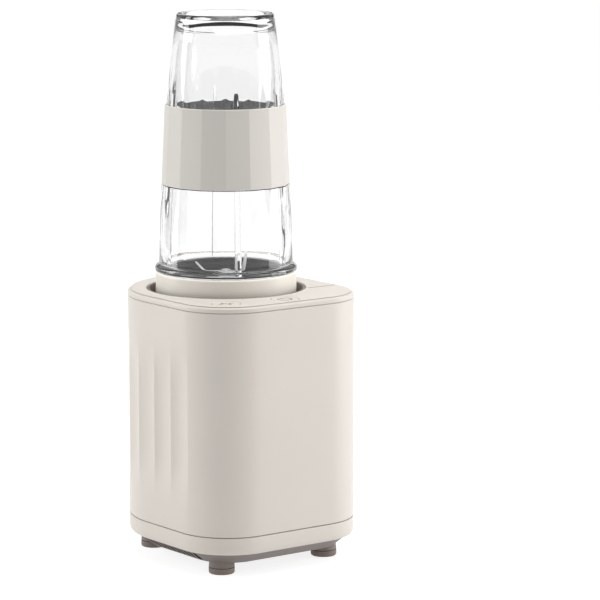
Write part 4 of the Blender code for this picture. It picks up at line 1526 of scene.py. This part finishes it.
class SetStage(PieceOperator):
    """Pale floor, soft studio light and the camera"""

    bl_idname = "blender_parts.stage"
    bl_label = "Studio"

    # name, direction from the blender's middle, distance in metres, size in metres, power in watts
    SOFTBOXES = (
        ("key_light", (0.85, -0.52, -0.08), 1.0, (0.6, 1.0), 7.4),
        ("side_light", (-0.72, 0.70, 0.20), 1.5, (0.4, 1.3), 9.0),
        ("top_light", (0.15, -0.1, 1.0), 1.5, (1.2, 1.2), 12.5),
    )
    FLOOR_SEEN, FLOOR_CAST = 0.8, 0.27
    WORLD_SEEN, WORLD_CAST = 1.0, 0.42
    LENS, SENSOR = 199.3, 36.0
    CAMERA_PLACE = Vector((-1.2474, -1.7377, 0.5105))  # from the foot of the drive axis
    CAMERA_AIM = Vector((0.59365, 0.78887, -0.15892))

    def make(self):
        self.make_floor()
        self.light_world()
        top = levels("cup")[1] * MM
        middle = DRIVE_AXIS + Vector((0.0, 0.0, top / 2))
        for name, direction, distance, size, power in self.SOFTBOXES:
            self.add_softbox(name, middle, Vector(direction), distance, size, power)
        self.add_flags(middle)
        self.place_camera()
        scene = bpy.context.scene
        scene.view_settings.view_transform = "Standard"
        scene.view_settings.look = "None"

    def make_floor(self):
        bm = bmesh.new()
        bmesh.ops.create_grid(bm, x_segments=8, y_segments=8, size=12.0)
        mesh = bpy.data.meshes.new("floor")
        bm.to_mesh(mesh)
        bm.free()
        floor = bpy.data.objects.new("floor", mesh)
        bpy.context.scene.collection.objects.link(floor)
        material, tree, shader = new_finish("studio_floor", (0.5, 0.5, 0.5, 1.0), 0.9, Specular_IOR_Level=0.0)
        shader.inputs["Emission Color"].default_value = (1.0, 1.0, 1.0, 1.0)
        dimmed_for_diffuse(tree, shader.inputs["Emission Strength"], self.FLOOR_SEEN, self.FLOOR_CAST)
        mesh.materials.append(material)

    def light_world(self):
        """White to the camera and in reflections, softer as a source of light."""
        world = bpy.data.worlds.new("studio_world")
        world.use_nodes = True
        tree = world.node_tree
        background = tree.nodes["Background"]
        background.inputs["Color"].default_value = (1.0, 1.0, 1.0, 1.0)
        dimmed_for_diffuse(tree, background.inputs["Strength"], self.WORLD_SEEN, self.WORLD_CAST)
        bpy.context.scene.world = world

    @staticmethod
    def add_softbox(name, middle, direction, distance, size, power):
        light = bpy.data.lights.new(name, "AREA")
        light.shape = "RECTANGLE"
        light.size, light.size_y = size
        light.energy = power
        made = bpy.data.objects.new(name, light)
        made.location = middle + direction.normalized() * distance
        made.rotation_euler = (-direction).to_track_quat("-Z", "Y").to_euler()
        made.visible_camera = False
        bpy.context.scene.collection.objects.link(made)

    @staticmethod
    def add_flags(middle):
        """Dark cards that only clear plastic and polished faces pick up: they draw the cup's outlines."""
        back, right = Vector((0.601, 0.799, 0.0)), Vector((0.799, -0.601, 0.0))
        cards = [
            ("flag_left", middle - right * 0.8 + back * 0.35, right, (0.8, 0.9), "visible_transmission"),
            ("flag_right", middle + right * 0.8 + back * 0.35, right, (0.8, 0.9), "visible_transmission"),
            ("flag_back", middle + back + Vector((0.0, 0.0, 0.26)), back, (1.6, 0.08), "visible_glossy"),
        ]
        material, tree, shader = new_finish("flag_cloth", (0.02, 0.02, 0.02, 1.0), 0.9)
        for name, place, facing, size, seen_by in cards:
            bm = bmesh.new()
            bmesh.ops.create_grid(bm, x_segments=1, y_segments=1, size=0.5)
            bmesh.ops.scale(bm, verts=bm.verts, vec=(*size, 1.0))
            turn = facing.to_track_quat("Z", "Y").to_matrix().to_4x4()
            bmesh.ops.transform(bm, matrix=turn, verts=bm.verts)
            moved(bm, *place)
            mesh = bpy.data.meshes.new(name)
            bm.to_mesh(mesh)
            bm.free()
            mesh.materials.append(material)
            card = bpy.data.objects.new(name, mesh)
            bpy.context.scene.collection.objects.link(card)
            for ray in ("camera", "diffuse", "glossy", "transmission", "volume_scatter", "shadow"):
                setattr(card, f"visible_{ray}", f"visible_{ray}" == seen_by)

    def place_camera(self):
        camera = bpy.data.cameras.new("camera")
        camera.lens, camera.sensor_width = self.LENS, self.SENSOR
        made = bpy.data.objects.new("camera", camera)
        made.location = DRIVE_AXIS + self.CAMERA_PLACE
        made.rotation_euler = self.CAMERA_AIM.to_track_quat("-Z", "Y").to_euler()
        bpy.context.scene.collection.objects.link(made)
        bpy.context.scene.camera = made


# ============================================================ panel and registration
STEPS = (
    MakeBodyShell,
    MakeSkirt,
    MakeBasePlate,
    MakeFeet,
    MakeCordGland,
    MakeDeck,
    MakeWell,
    MakeButtons,
    MakeLockRing,
    MakeCouplings,
    MakeBladeBase,
    MakeBlades,
    MakeCup,
    MakeSleeve,
    FinishInsides,
    SetStage,
)


class BlenderPanel(bpy.types.Panel):
    """Sidebar panel with the settings and one button for each step"""

    bl_idname = "VIEW3D_PT_blender_parts"
    bl_label = "Personal Blender"
    bl_space_type = "VIEW_3D"
    bl_region_type = "UI"
    bl_category = "Personal Blender"

    def draw(self, context):
        for group in (context.scene.blender_sizes, context.scene.blender_finishes):
            box = self.layout.box()
            for name in group.__annotations__:
                box.prop(group, name)
        for step in STEPS:
            self.layout.operator(step.bl_idname)


CLASSES = (BlenderSizes, BlenderFinishes, *STEPS, BlenderPanel)


def register():
    for cls in CLASSES:
        bpy.utils.register_class(cls)
    bpy.types.Scene.blender_sizes = PointerProperty(type=BlenderSizes)
    bpy.types.Scene.blender_finishes = PointerProperty(type=BlenderFinishes)


def unregister():
    del bpy.types.Scene.blender_finishes
    del bpy.types.Scene.blender_sizes
    for cls in reversed(CLASSES):
        bpy.utils.unregister_class(cls)


def main():
    register()
    for step in STEPS:
        group, name = step.bl_idname.split(".")
        getattr(getattr(bpy.ops, group), name)()


if __name__ == "__main__":
    main()
